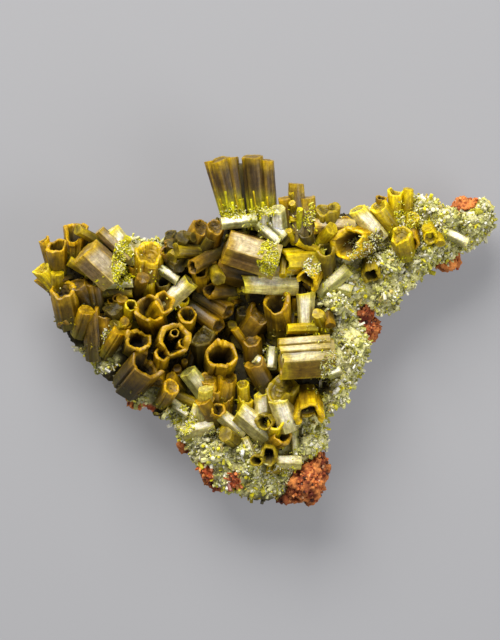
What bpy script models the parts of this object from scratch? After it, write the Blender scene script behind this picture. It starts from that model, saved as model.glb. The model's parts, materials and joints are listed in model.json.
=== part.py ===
"""A pyromorphite specimen: hollow six-sided barrel crystals on a pale crust of small grains, on rusty gossan.

The specimen lies on its flat back with the crystals up. X runs to the right and Y to the top of the display
face, Z is up, and the origin is on the resting face. Sizes and places are in millimetres until a mesh is made.
"""

import math
import random
from dataclasses import dataclass

import bmesh
import bpy
from mathutils import Vector, geometry

# Driving dimensions, in millimetres
MM = 0.001
BED_HEIGHT = 6.4  # the crust's top above the resting face, before its dips and swells
CRUST_THICKNESS = 1.7
CRUST_EDGE = 0.7  # the crust's thickness where it feathers out
CRUST_SHOULDER = 1.5  # how far in from the outline the crust reaches its full height
CRUST_GRAIN = 0.22  # how far the crust's grains stand out
GRID_STEP = 3.4
MATRIX_INSET = 0.6  # how far the gossan stays inside the crust's outline
MATRIX_FLANK = 2.6  # how far in from the outline the gossan's flank reaches the resting face
MATRIX_ROUGHNESS = 0.25
WELD = 0.003  # points this close are one
FLAT_ENOUGH = math.radians(4)  # faces that meet at a flatter angle than this are one
GAP = 0.05  # the clearance left between neighbouring solids
ROOT = 0.9  # how deep a crystal's foot starts under the crust's top
WALL = 0.34  # a hollow crystal's wall, as a share of its outer radius
FLOOR = 0.45  # the radius of a hollow's floor, as a share of the crystal's outer radius
BAR = 0.7  # the radius of the three-sided ridge that joins the feet of crystals grown together
BAR_RISE = 0.25  # how far that ridge's middle stands over the crust's top
FACE_TOWARDS = Vector((-0.12, 0.42, 0.9))  # where a flat crystal's broad side looks
LUMP_BASE = 0.6  # no lump reaches lower than this over the resting face
LUMP_REACH = 7.0  # a crystal whose tip is farther than this from a lump can't touch it
FINE_LUMP = 2.5  # a lump with a greater half width than this gets more facets
LEAST_HOLLOW = 1.85  # a narrower crystal is modelled without its hollow, in millimetres
SEED = 7

# The crust's outline on the display face, clockwise from the left end
CRUST_OUTLINE = (
    (-19.6, 8.4), (-18.2, 9.6), (-16.4, 10.5), (-14.0, 10.9), (-11.2, 10.6), (-8.4, 10.4), (-5.9, 10.7),
    (-4.2, 11.7), (-2.6, 12.7), (-0.6, 13.2), (1.6, 13.4), (3.6, 13.3), (5.8, 12.8), (8.4, 12.9), (11.0, 13.4),
    (13.4, 14.0), (15.4, 14.6), (17.2, 15.0), (18.8, 14.4), (20.8, 14.1), (22.4, 14.4), (23.4, 14.8), (24.4, 13.9),
    (24.6, 12.4), (23.9, 11.0), (22.4, 9.9), (20.6, 9.2), (18.4, 8.3), (16.4, 7.1), (15.7, 5.8), (15.0, 4.8),
    (14.7, 3.4), (13.2, 3.2), (11.8, 4.1), (10.7, 3.9), (10.9, 2.4), (11.4, 1.0), (12.1, -0.1), (11.5, -1.2),
    (11.1, -2.5), (10.3, -4.0), (9.0, -5.5), (7.7, -6.8), (7.5, -8.6), (8.1, -10.1), (7.0, -11.0), (5.6, -12.2),
    (4.4, -13.5), (2.9, -15.1), (0.9, -15.1), (-1.2, -14.4), (-3.2, -13.8), (-4.8, -13.0), (-5.8, -11.3),
    (-6.5, -9.8), (-7.6, -8.2), (-8.4, -6.5), (-10.0, -5.5), (-11.8, -5.0), (-12.9, -3.6), (-14.6, -2.5),
    (-16.0, -1.1), (-17.0, 0.4), (-18.4, 1.7), (-19.3, 3.2), (-19.7, 5.0), (-19.9, 6.8),
)

# Swells and dips of the crust: middle x and y, half widths in x and y, height
SWELLS = (
    (-3.5, 1.0, 6.5, 5.0, -2.4),  # the basin that the hollow barrels line
    (1.5, 10.5, 7.0, 2.6, 2.2),  # the ridge under the twin columns
    (8.5, 0.5, 3.2, 4.5, 1.1),  # the swell under the striated barrel
    (-14.5, 8.0, 3.5, 2.6, 0.9),  # the swell under the left slab
    (24.0, 12.0, 3.5, 4.0, -0.9),  # the arm thins to its end
    (1.0, -15.0, 4.0, 3.0, -0.6),  # and so does the foot
)

# Rounded mounds of grains on the crust: middle x, y and z, half widths, turn in degrees
MOUNDS = (
    (-3.3, -10.9, 6.2, 1.6, 1.3, 1.3, 30),
    (-0.1, -12.2, 6.0, 1.3, 1.1, 1.2, 0),
    (-0.7, -10.6, 6.3, 1.2, 1.0, 1.0, 0),
    (-1.9, -12.9, 5.6, 1.5, 1.0, 1.0, 20),
    (5.6, -10.0, 6.2, 1.2, 1.4, 1.1, 0),
    (8.6, -4.9, 6.8, 1.3, 1.8, 1.1, -30),
    (10.6, -0.6, 6.8, 1.2, 1.9, 1.1, 10),
    (8.6, 4.2, 7.0, 1.8, 1.1, 1.2, -20),
    (13.4, 5.3, 6.3, 1.5, 1.0, 1.2, -30),
    (13.6, 8.2, 6.5, 2.0, 1.3, 1.2, 20),
    (17.4, 8.9, 6.1, 1.7, 0.9, 1.1, 20),
    (19.4, 12.6, 6.0, 1.8, 1.3, 1.2, 0),
    (22.4, 12.6, 5.7, 1.7, 1.4, 1.2, 40),
    (17.9, 13.8, 6.1, 1.3, 0.9, 1.1, 0),
    (-8.6, -6.0, 6.1, 1.1, 0.8, 0.9, -30),
    (-5.6, -8.4, 6.0, 1.0, 1.3, 0.9, -20),
)

# Rusty lumps of gossan that show past the crust: middle x, y and z, half widths, turn in degrees
LUMPS = (
    (5.9, -13.6, 4.4, 2.7, 2.2, 2.7, 40),
    (4.4, -14.9, 3.6, 1.8, 1.2, 2.0, 20),
    (7.2, -11.8, 4.6, 1.2, 1.0, 1.9, 0),
    (11.2, 3.0, 4.2, 1.9, 1.3, 2.1, 60),
    (11.9, 1.6, 4.0, 1.4, 1.7, 1.9, 20),
    (21.5, 14.2, 4.0, 1.7, 1.3, 2.2, 25),
    (19.6, 9.1, 3.6, 1.9, 1.3, 1.9, 0),
    (-3.6, -13.2, 4.1, 1.7, 0.9, 1.6, -25),
    (-6.5, -10.1, 3.8, 0.8, 1.1, 1.3, 20),
    (-11.6, -4.8, 3.9, 1.5, 0.8, 1.1, -20),
)


@dataclass
class Crystal:
    """One six-sided crystal. Its tip's place and its sizes are in millimetres, and its angles in degrees."""

    x: float
    y: float
    heading: float  # the way the tip points on the display face, anticlockwise from +X
    rise: float  # how far the tip points up out of the face
    length: float
    width: float
    foot: float = 0.85  # the foot's width as a share of the tip's
    hollow: float = 0.0  # the hollow's depth as a share of the length
    lift: float = 0.0  # how far the foot is raised, for a crystal that lies across others
    roll: float = None  # the turn about its own axis, or None for a side that looks to FACE_TOWARDS
    tone: str = "amber"


def crystals(*rows):
    return [Crystal(*row[:-1], tone=row[-1]) for row in rows]


# Crystals that grew together, by the node they make. Earlier nodes keep their shape where two meet.
# Each row: tip x, tip y, heading, rise, length, width, foot, hollow, lift, roll, tone
CLUSTERS = {
    "twin_columns": crystals(
        (-3.0, 18.7, 103, 9, 7.2, 2.1, 0.62, 0.25, 0.35, 10, "amber"),
        (-1.6, 18.8, 99, 9, 7.2, 1.9, 0.62, 0.25, 0.3, 20, "amber"),
        (-4.1, 18.4, 106, 8, 7.0, 1.1, 0.7, 0.0, 0.3, 0, "amber"),
        (0.1, 18.9, 95, 9, 7.4, 2.5, 0.8, 0.25, 0.35, 0, "amber"),
        (1.6, 18.7, 94, 8, 7.2, 1.6, 0.85, 0.0, 0.25, 15, "amber"),
    ),
    "spire": crystals(
        (4.6, 16.2, 92, 12, 6.0, 1.9, 1.15, 0.15, 0.25, 30, "rose"),
        (5.6, 14.8, 93, 14, 4.6, 1.7, 1.0, 0.1, 0.1, 0, "olive"),
        (3.5, 14.8, 98, 14, 4.0, 1.4, 1.0, 0.0, 0.1, 30, "olive"),
    ),
    "silver_prism_west": crystals(
        (-2.9, 12.5, 187, 6, 3.6, 1.5, 1.0, 0.0, 2.1, None, "silver"),
    ),
    "silver_prisms_east": crystals(
        (3.6, 10.8, -42, 4, 3.2, 1.2, 1.0, 0.0, 2.2, None, "silver"),
        (2.7, 13.6, 95, 32, 3.4, 1.7, 1.0, 0.0, 0.3, None, "silver"),
        (1.7, 13.4, 80, 36, 3.0, 1.1, 1.0, 0.0, 0.3, None, "silver"),
        (2.9, 10.2, -42, 4, 2.9, 1.2, 1.0, 0.0, 1.7, None, "silver"),
    ),
    "centre_slab": crystals(
        (-2.4, 10.3, 163, 8, 5.4, 3.1, 1.0, 0.25, 2.2, None, "rose"),
        (-3.8, 8.0, 166, 4, 5.4, 2.8, 1.0, 0.35, 0.9, 0, "brown"),
    ),
    "inner_slab": crystals(
        (-0.8, 6.1, 178, 8, 5.6, 2.0, 1.0, 0.3, 1.3, None, "rose"),
        (0.8, 7.2, 185, 5, 3.6, 1.1, 1.0, 0.0, 1.8, None, "cream"),
    ),
    "striated_barrel": crystals(
        (3.1, -1.0, 184, 8, 6.0, 4.3, 0.95, 0.3, 1.9, None, "honey"),
        (3.6, 1.8, 182, 8, 3.8, 1.2, 1.0, 0.2, 1.4, 0, "yellow"),
        (7.4, -2.0, 285, 30, 2.6, 1.7, 0.9, 0.3, 0.6, 0, "yellow"),
    ),
    "left_slab": crystals(
        (-16.6, 10.0, 137, 12, 5.2, 3.6, 0.95, 0.3, 1.7, None, "rose"),
        (-15.1, 11.5, 137, 12, 4.2, 1.2, 1.0, 0.0, 1.6, None, "rose"),
        (-13.9, 11.6, 128, 15, 4.2, 1.7, 1.0, 0.0, 0.9, None, "cream"),
        (-18.1, 8.4, 150, 10, 2.6, 1.1, 0.9, 0.0, 1.2, None, "yellow"),
    ),
    "left_flared_barrel": crystals(
        (-17.4, 11.9, 88, 6, 3.8, 2.6, 0.6, 0.5, 0.3, 0, "amber"),
    ),
    "left_fan": crystals(
        (-19.4, 10.1, 95, 38, 4.2, 2.1, 0.75, 0.6, 0.2, 10, "amber"),
        (-20.7, 10.7, 105, 10, 4.2, 1.2, 0.8, 0.3, 0.3, 0, "amber"),
        (-21.2, 8.0, 130, 8, 4.2, 2.0, 0.8, 0.4, 0.2, 20, "yellow"),
        (-21.3, 6.9, 140, 5, 3.8, 1.3, 0.9, 0.2, 0.1, 0, "amber"),
        (-19.3, 7.3, 90, 35, 2.6, 1.4, 1.0, 0.0, 0.5, None, "yellow"),
    ),
    "left_wall_barrels": crystals(
        (-18.8, 5.8, 100, 28, 4.4, 2.6, 0.95, 0.3, 0.4, 0, "amber"),
        (-17.4, 6.3, 120, 35, 3.4, 1.9, 0.9, 0.4, 0.4, 20, "brown"),
        (-15.8, 6.7, 100, 25, 3.4, 2.1, 0.9, 0.3, 0.4, 0, "brown"),
        (-18.9, 2.8, 160, 20, 2.8, 1.8, 0.9, 0.3, 0.3, 0, "brown"),
        (-17.4, 1.0, 225, 15, 2.6, 1.6, 0.9, 0.2, 0.2, 20, "olive"),
    ),
    "west_columns": crystals(
        (-16.0, 3.7, 94, 14, 5.4, 1.8, 0.9, 0.25, 0.5, 0, "brown"),
        (-14.6, 3.2, 92, 16, 4.8, 1.7, 0.9, 0.25, 0.3, 30, "brown"),
    ),
    "north_west_barrel": crystals(
        (-10.1, 9.9, 82, 14, 4.4, 3.2, 0.8, 0.5, 0.6, 0, "amber"),
        (-11.7, 8.2, 100, 25, 3.2, 1.2, 0.9, 0.2, 0.5, 0, "brown"),
    ),
    "lying_prisms": crystals(
        (-11.7, 5.3, 0, 5, 3.6, 1.1, 1.0, 0.0, 1.0, 0, "olive"),
    ),
    "basin_ring_west": crystals(
        (-11.0, 0.7, 60, 74, 4.6, 2.8, 0.85, 0.7, 0.3, 0, "amber"),
        (-10.3, 3.8, 110, 58, 4.6, 3.0, 0.85, 0.65, 0.3, 15, "amber"),
        (-8.4, 4.5, 50, 45, 4.2, 2.2, 0.85, 0.55, 0.4, 0, "amber"),
        (-11.9, 4.1, 70, 55, 3.8, 1.3, 0.85, 0.5, 0.3, 0, "yellow"),
        (-10.2, 6.8, 92, 30, 3.6, 1.6, 0.9, 0.2, 0.5, 0, "yellow"),
    ),
    "basin_ring_east": crystals(
        (-7.4, 0.7, 45, 74, 5.0, 3.4, 0.85, 0.7, 0.3, 0, "amber"),
        (-8.7, 6.5, 90, 40, 3.2, 1.6, 0.9, 0.3, 0.3, 0, "dark"),
    ),
    "basin_south_west": crystals(
        (-9.9, -1.7, 48, 45, 5.0, 3.6, 0.85, 0.55, 0.3, 10, "brown"),
        (-8.8, -0.8, 80, 60, 4.0, 1.6, 0.9, 0.3, 0.2, 0, "amber"),
        (-7.8, -4.1, 60, 50, 3.4, 1.8, 0.85, 0.4, 0.4, 0, "amber"),
        (-9.5, -4.0, 250, 40, 3.2, 1.8, 0.9, 0.3, 0.3, 0, "amber"),
    ),
    "basin_centre": crystals(
        (-2.8, -0.8, 75, 66, 4.8, 3.3, 0.85, 0.7, 0.4, 0, "amber"),
        (-4.8, 1.0, 95, 45, 4.4, 2.6, 0.85, 0.5, 0.3, 0, "dark"),
        (0.2, 0.6, 95, 30, 3.8, 2.0, 0.9, 0.4, 0.6, 0, "brown"),
    ),
    "basin_prisms": crystals(
        (-3.0, 1.7, -36, 22, 4.4, 1.9, 0.95, 0.4, 0.9, 0, "brown"),
        (-2.0, 3.1, -32, 22, 4.2, 2.0, 0.95, 0.4, 1.0, 0, "brown"),
        (-0.7, 3.6, 80, 35, 3.4, 1.3, 0.9, 0.4, 0.4, 0, "dark"),
    ),
    "north_brown_barrels": crystals(
        (-4.7, 12.1, 60, 18, 4.8, 2.1, 0.9, 0.3, 0.4, 0, "brown"),
        (-3.4, 12.0, 78, 42, 4.2, 1.8, 0.85, 0.6, 0.3, 0, "brown"),
        (-6.6, 9.9, 90, 35, 2.8, 1.3, 0.9, 0.2, 0.4, 0, "brown"),
        (-6.9, 11.4, 88, 15, 2.9, 1.2, 0.9, 0.3, 0.3, 0, "dark"),
        (-8.0, 11.4, 95, 15, 2.9, 1.2, 0.9, 0.3, 0.2, 0, "dark"),
    ),
    "north_basin_barrels": crystals(
        (-5.0, 7.8, 93, 48, 5.0, 1.9, 0.85, 0.6, 0.3, 0, "amber"),
        (-5.9, 6.4, 42, 22, 3.8, 1.9, 1.0, 0.15, 1.3, None, "cream"),
        (-7.2, 6.4, -35, 8, 2.6, 1.1, 1.0, 0.0, 1.6, None, "silver"),
        (-6.7, 4.8, 82, 40, 3.4, 1.2, 0.9, 0.2, 0.4, 0, "yellow"),
        (-6.3, 3.2, 85, 50, 4.0, 1.9, 0.85, 0.6, 0.3, 0, "amber"),
    ),
    "east_basin_barrels": crystals(
        (1.5, 3.6, 55, 20, 4.6, 3.0, 0.9, 0.4, 0.9, 0, "brown"),
        (2.7, 4.7, 97, 38, 4.6, 3.0, 0.9, 0.5, 0.5, 15, "amber"),
        (5.6, 5.3, 90, 10, 4.2, 2.0, 0.6, 0.2, 1.1, None, "cream"),
        (5.6, 6.1, 245, 45, 3.4, 2.3, 0.85, 0.6, 0.5, 0, "yellow"),
        (6.8, 3.2, 110, 50, 2.8, 1.3, 1.0, 0.0, 0.5, 0, "yellow"),
    ),
    "side_barrel": crystals(
        (3.0, 8.4, 182, 22, 4.4, 2.4, 1.0, 0.5, 0.7, 0, "yellow"),
        (5.5, 11.4, 100, 40, 3.0, 1.5, 0.9, 0.5, 0.3, 0, "dark"),
    ),
    "north_east_barrels": crystals(
        (9.3, 10.0, 190, 48, 4.4, 3.4, 0.85, 0.6, 0.4, 0, "yellow"),
        (6.3, 11.9, 180, 8, 4.2, 1.8, 0.85, 0.15, 1.5, None, "rose"),
        (7.7, 14.0, 90, 18, 3.6, 2.7, 0.9, 0.4, 0.2, 0, "dark"),
        (7.5, 9.7, 95, 40, 4.4, 2.0, 0.85, 0.5, 0.3, 0, "olive"),
        (9.6, 12.6, 80, 30, 2.6, 1.3, 0.9, 0.3, 0.4, 0, "amber"),
        (12.4, 11.3, 80, 45, 3.0, 1.8, 0.9, 0.4, 0.3, 0, "dark"),
    ),
    "arm_north_crystals": crystals(
        (10.7, 13.6, 130, 15, 4.0, 1.9, 1.0, 0.1, 0.9, None, "cream"),
        (12.8, 14.0, 125, 25, 3.6, 1.9, 0.95, 0.4, 0.5, 0, "yellow"),
        (13.2, 14.9, 85, 20, 2.8, 1.2, 0.9, 0.3, 0.2, 0, "amber"),
        (14.6, 15.6, 91, 12, 3.2, 1.7, 0.9, 0.2, 0.2, 0, "yellow"),
        (15.9, 15.8, 88, 12, 3.4, 1.1, 1.0, 0.0, 0.3, 0, "yellow"),
        (16.4, 13.0, 75, 35, 2.8, 1.5, 0.9, 0.3, 0.4, 0, "yellow"),
    ),
    "arm_south_crystals": crystals(
        (15.0, 11.2, 105, 50, 3.6, 2.3, 0.9, 0.2, 0.5, 0, "yellow"),
        (16.1, 10.0, 268, 35, 3.0, 1.8, 0.9, 0.5, 0.5, 0, "amber"),
        (17.7, 11.8, 100, 40, 2.6, 1.2, 0.9, 0.0, 0.4, 0, "yellow"),
        (18.1, 10.6, 280, 50, 2.6, 1.5, 0.9, 0.2, 0.4, 0, "yellow"),
    ),
    "arm_silver_prism": crystals(
        (21.9, 10.2, -25, 5, 2.8, 1.2, 1.0, 0.0, 1.0, None, "silver"),
    ),
    "mint_prisms": crystals(
        (9.9, 7.7, 42, 8, 4.0, 1.5, 1.0, 0.0, 1.2, None, "mint"),
        (10.2, 5.4, -15, 10, 3.4, 1.3, 1.0, 0.0, 0.8, None, "mint"),
        (12.1, 6.7, 268, 45, 3.0, 2.0, 0.9, 0.6, 0.4, 0, "olive"),
    ),
    "south_amber_barrels": crystals(
        (3.3, -3.8, 85, 30, 4.2, 3.2, 0.9, 0.35, 0.5, 0, "olive"),
        (0.3, -1.5, 115, 25, 4.0, 2.2, 0.9, 0.4, 0.6, 0, "brown"),
    ),
    "south_basin_barrels": crystals(
        (-2.2, -2.8, 85, 22, 3.8, 2.0, 0.9, 0.35, 0.6, 0, "amber"),
        (-4.3, -3.1, 100, 25, 3.6, 1.8, 0.9, 0.3, 0.5, 0, "amber"),
        (-3.6, -4.1, 90, 25, 3.0, 1.8, 0.9, 0.2, 0.5, 0, "amber"),
        (-6.3, -2.6, 128, 18, 4.0, 1.9, 1.0, 0.1, 0.9, None, "mint"),
        (-0.7, -3.8, 95, 25, 2.8, 1.3, 1.0, 0.1, 0.6, 0, "yellow"),
    ),
    "cream_prisms": crystals(
        (1.2, -4.8, 95, 18, 3.4, 1.7, 1.0, 0.1, 0.8, None, "cream"),
        (2.9, -5.0, 110, 18, 3.8, 2.2, 1.0, 0.15, 0.5, None, "cream"),
        (-0.4, -5.1, 85, 20, 2.8, 1.7, 0.9, 0.2, 0.5, 0, "yellow"),
        (-1.2, -6.6, 140, 14, 4.0, 2.3, 1.0, 0.1, 0.9, None, "cream"),
        (-3.0, -6.9, 140, 16, 3.2, 1.5, 1.0, 0.0, 0.7, None, "cream"),
        (-2.2, -5.2, 85, 25, 2.6, 1.2, 0.9, 0.2, 0.5, 0, "amber"),
    ),
    "gold_arch_barrel": crystals(
        (5.9, -7.4, 275, 52, 4.0, 3.1, 0.85, 0.6, 0.5, 0, "yellow"),
    ),
    "south_hollow_barrels": crystals(
        (3.5, -9.0, 30, 50, 3.2, 1.9, 0.85, 0.5, 0.4, 0, "amber"),
        (2.6, -7.6, 80, 55, 3.4, 1.7, 0.85, 0.6, 0.4, 0, "yellow"),
        (1.2, -7.7, 200, 60, 3.4, 1.8, 0.85, 0.6, 0.4, 0, "olive"),
    ),
    "south_west_prisms": crystals(
        (-3.5, -8.0, 14, 12, 3.4, 1.4, 1.0, 0.0, 0.7, None, "cream"),
        (-2.6, -9.2, 262, 45, 2.6, 1.5, 0.85, 0.5, 0.0, 0, "olive"),
        (-5.5, -5.8, -22, 10, 3.2, 1.1, 1.0, 0.0, 0.6, 0, "olive"),
    ),
    "foot_crystals": crystals(
        (1.8, -11.4, 260, 55, 3.0, 1.8, 0.9, 0.6, 0.4, 0, "olive"),
        (2.5, -11.7, 178, 10, 2.6, 1.5, 1.0, 0.0, 1.0, None, "yellow"),
        (0.6, -11.6, 200, 60, 2.6, 1.3, 0.9, 0.6, 0.4, 0, "olive"),
    ),
}

# Each tone's colour, roughness
TONES = {
    "amber": ((0.42, 0.25, 0.02), 0.35),
    "brown": ((0.24, 0.14, 0.03), 0.4),
    "rose": ((0.48, 0.38, 0.24), 0.25),
    "honey": ((0.50, 0.36, 0.10), 0.25),
    "cream": ((0.66, 0.60, 0.38), 0.25),
    "silver": ((0.78, 0.76, 0.68), 0.2),
    "yellow": ((0.58, 0.46, 0.03), 0.3),
    "olive": ((0.28, 0.24, 0.05), 0.4),
    "dark": ((0.12, 0.10, 0.02), 0.4),
    "mint": ((0.55, 0.60, 0.42), 0.35),
    "lime": ((0.55, 0.58, 0.06), 0.4),
    "druse": ((0.50, 0.53, 0.30), 0.5),
    "gossan": ((0.34, 0.10, 0.03), 0.85),
}


def bed(x, y):
    """The height of the crust's top over the resting face, in millimetres."""
    height = BED_HEIGHT
    for mid_x, mid_y, half_x, half_y, swell in SWELLS:
        height += swell * math.exp(-(((x - mid_x) / half_x) ** 2) - ((y - mid_y) / half_y) ** 2)
    return height


def edge_distance(point, outline):
    """How far a point is from the nearest side of an outline."""
    nearest = math.inf
    for start, end in zip(outline, outline[1:] + outline[:1]):
        foot, share = geometry.intersect_point_line(point, start, end)
        foot = start if share < 0 else end if share > 1 else foot
        nearest = min(nearest, (point - Vector(foot[:2])).length)
    return nearest


def is_inside(point, outline):
    """Whether a point lies within an outline, by counting the sides that a line to the right crosses."""
    crossings = 0
    for start, end in zip(outline, outline[1:] + outline[:1]):
        if (start.y > point.y) != (end.y > point.y):
            at_x = start.x + (point.y - start.y) * (end.x - start.x) / (end.y - start.y)
            crossings += at_x > point.x
    return crossings % 2 == 1


def offset_outline(outline, outwards):
    """A clockwise outline moved out by a distance, or in by a negative one."""
    moved = []
    for i, corner in enumerate(outline):
        before = (corner - outline[i - 1]).normalized()
        after = (outline[(i + 1) % len(outline)] - corner).normalized()
        along = (before + after).normalized()
        moved.append(corner + Vector((-along.y, along.x)) * outwards)
    return moved


def plate_points(outline, rings, step, wobble, rng):
    """The outline's points, then points on rings inside it, then a loose grid over what is left."""
    points = list(outline)
    for ring in rings:
        for point in offset_outline(outline, -ring)[::3]:
            if is_inside(point, outline) and edge_distance(point, outline) > 0.8 * ring:
                points.append(point)
    for row in range(-12, 13):
        for column in range(-17, 18):
            x = (column + 0.5 * (row % 2)) * step + rng.uniform(-wobble, wobble)
            y = row * step * math.sqrt(3) / 2 + rng.uniform(-wobble, wobble)
            point = Vector((x, y))
            if is_inside(point, outline) and edge_distance(point, outline) > rings[-1] + 0.4 * step:
                points.append(point)
    return points


def plate_mesh(points, rim_count, top, bottom):
    """A closed plate over triangulated points, the first rim_count of which are its outline."""
    rim = [(i, (i + 1) % rim_count) for i in range(rim_count)]
    flat, _, faces, _, _, _ = geometry.delaunay_2d_cdt(points, rim, [], 1, 1e-5)
    mesh = bmesh.new()
    lower = [mesh.verts.new((p.x, p.y, bottom(i, p))) for i, p in enumerate(flat)]
    upper = [mesh.verts.new((p.x, p.y, top(i, p))) for i, p in enumerate(flat)]
    for face in faces:
        mesh.faces.new([upper[i] for i in face])
        mesh.faces.new([lower[i] for i in reversed(face)])
    mesh.verts.index_update()
    count = len(flat)
    open_edges = [e for e in mesh.edges if e.is_boundary and e.verts[0].index >= count]
    for edge in open_edges:
        a, b = (vert.index - count for vert in edge.verts)
        mesh.faces.new((upper[a], upper[b], lower[b], lower[a]))
    bmesh.ops.recalc_face_normals(mesh, faces=mesh.faces)
    return mesh


def crust_mesh(grow):
    """The crust of small grains, or a copy of it grown by a clearance, to cut its neighbours with."""
    rng = random.Random(SEED)
    outline = [Vector(p) for p in CRUST_OUTLINE]
    points = plate_points(outline, (0.6, CRUST_SHOULDER), GRID_STEP, 0.35, rng)
    grains = [rng.uniform(-CRUST_GRAIN, CRUST_GRAIN) for _ in points]
    shares = [min(1.0, edge_distance(p, outline) / CRUST_SHOULDER) for p in points]
    thinning = CRUST_THICKNESS - CRUST_EDGE

    def top(i, p):
        drop = thinning * (1 - math.sin(shares[i] * math.pi / 2))
        return bed(p.x, p.y) - drop + grains[i] * (0.4 + shares[i]) + grow

    def bottom(i, p):
        return bed(p.x, p.y) - CRUST_THICKNESS - grow

    points[: len(outline)] = offset_outline(outline, grow)
    return plate_mesh(points, len(outline), top, bottom)


def matrix_mesh():
    """The gossan under the crust: a rough slab with sloping flanks and a flat resting face."""
    rng = random.Random(SEED + 1)
    outline = offset_outline([Vector(p) for p in CRUST_OUTLINE], -MATRIX_INSET)
    points = plate_points(outline, (0.9, MATRIX_FLANK), 2.6, 0.5, rng)
    bumps = [rng.uniform(-MATRIX_ROUGHNESS, MATRIX_ROUGHNESS) for _ in points]
    edges = [edge_distance(p, outline) for p in points]

    def top(i, p):
        return bed(p.x, p.y) - CRUST_THICKNESS + 0.3

    def bottom(i, p):
        flank = max(0.0, 1 - edges[i] / (MATRIX_FLANK * 0.9))
        rough = bumps[i] if flank > 0 else 0.0
        return max(0.0, flank * (bed(p.x, p.y) - CRUST_THICKNESS - 0.9) + rough * 2)

    return plate_mesh(points, len(outline), top, bottom)


def lump_mesh(x, y, z, half_x, half_y, half_z, turn, rng):
    """A rough lump of gossan, or a mound of grains."""
    mesh = bmesh.new()
    bmesh.ops.create_icosphere(mesh, subdivisions=2 if half_x > FINE_LUMP else 1, radius=1.0)
    angle = math.radians(turn)
    for vert in mesh.verts:
        rough = 1 + rng.uniform(-0.12, 0.12)
        u, v, w = vert.co.x * half_x * rough, vert.co.y * half_y * rough, vert.co.z * half_z * rough
        vert.co.x = x + u * math.cos(angle) - v * math.sin(angle)
        vert.co.y = y + u * math.sin(angle) + v * math.cos(angle)
        vert.co.z = max(z + w, LUMP_BASE)
    return mesh


def axes_of(crystal):
    """A crystal's axis, and two directions across it. The first looks through the middle of a side face."""
    heading, rise = math.radians(crystal.heading), math.radians(crystal.rise)
    axis = Vector((math.cos(rise) * math.cos(heading), math.cos(rise) * math.sin(heading), math.sin(rise)))
    looks = FACE_TOWARDS if crystal.roll is None else Vector((0, 0, 1))
    across = (looks - axis * looks.dot(axis)).normalized()
    beside = axis.cross(across)
    turn = math.radians(crystal.roll or 0)
    turned = across * math.cos(turn) + beside * math.sin(turn)
    return axis, turned, axis.cross(turned)


def foot_of(crystal):
    """The middle of a crystal's foot, which starts in the crust."""
    axis = axes_of(crystal)[0]
    x, y = crystal.x - axis.x * crystal.length, crystal.y - axis.y * crystal.length
    return Vector((x, y, bed(x, y) - ROOT + crystal.lift))


def ring(middle, across, beside, radius, sides=6):
    """The corners of a regular outline round a point."""
    turns = [2 * math.pi * (i + 0.5) / sides for i in range(sides)]
    return [middle + across * radius * math.cos(t) + beside * radius * math.sin(t) for t in turns]


def rings_mesh(rings):
    """A closed solid whose sides run through a row of rings, and whose ends are capped."""
    mesh = bmesh.new()
    made = [[mesh.verts.new(point) for point in points] for points in rings]
    mesh.faces.new(made[0][::-1])
    for low, high in zip(made, made[1:]):
        for i in range(len(low)):
            j = (i + 1) % len(low)
            mesh.faces.new((low[i], low[j], high[j], high[i]))
    mesh.faces.new(made[-1])
    return mesh


def crystal_mesh(crystal, grow=0.0):
    """A six-sided crystal, hollow at its tip. Grown by a clearance it is a filled shape to cut others with."""
    axis, across, beside = axes_of(crystal)
    foot = foot_of(crystal)
    radius = crystal.width / 2
    tip = foot + axis * crystal.length
    rings = [
        ring(foot - axis * grow, across, beside, radius * crystal.foot + grow),
        ring(tip + axis * grow, across, beside, radius + grow),
    ]
    if crystal.hollow and not grow and crystal.width > LEAST_HOLLOW:
        rings.append(ring(tip - axis * 0.04 * radius, across, beside, radius * (1 - WALL)))
        rings.append(ring(tip - axis * crystal.hollow * crystal.length, across, beside, radius * FLOOR))
    return rings_mesh(rings)


def bar_mesh(start, end, grow=0.0):
    """The ridge that joins the feet of two crystals, just over the crust's top."""
    start, end = (Vector((p.x, p.y, bed(p.x, p.y) + BAR_RISE)) for p in (start, end))
    axis = (end - start).normalized()
    across = (Vector((0, 0, 1)) - axis * axis.z).normalized()
    beside = axis.cross(across)
    size = BAR + 2 * grow
    return rings_mesh([ring(p, across, beside, size, 3) for p in (start - axis * grow, end + axis * grow)])


def axis_gap(first, second):
    """The distance between two crystals' axes."""
    ends = []
    for crystal in (first, second):
        foot = foot_of(crystal)
        ends.append((foot + axes_of(crystal)[0] * 0.8, foot + axes_of(crystal)[0] * crystal.length))
    (a, b), (c, d) = ends
    steps = [i / 12 for i in range(13)]
    return min((a.lerp(b, s) - c.lerp(d, t)).length for s in steps for t in steps)


def bars_of(cluster):
    """The pairs of feet that a ridge joins: each crystal that stands clear, and the nearest before it."""
    pairs = []
    for i, crystal in enumerate(cluster[1:], 1):
        if any(axis_gap(crystal, other) < 0.4 * (crystal.width + other.width) / 2 for other in cluster[:i]):
            continue
        foot = foot_of(crystal)
        nearest = min(cluster[:i], key=lambda other: (foot_of(other) - foot).length)
        pairs.append((foot, foot_of(nearest)))
    return pairs


def new_object(name, mesh):
    """An object in the scene from a bmesh in millimetres."""
    data = bpy.data.meshes.new(name)
    mesh.to_mesh(data)
    mesh.free()
    made = bpy.data.objects.new(name, data)
    bpy.context.scene.collection.objects.link(made)
    return made


def joined(name, meshes):
    """One object that holds several closed shapes, which may run through each other."""
    whole = bmesh.new()
    for mesh in meshes:
        data = bpy.data.meshes.new("shape")
        mesh.to_mesh(data)
        mesh.free()
        whole.from_mesh(data)
        bpy.data.meshes.remove(data)
    return new_object(name, whole)


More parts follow.
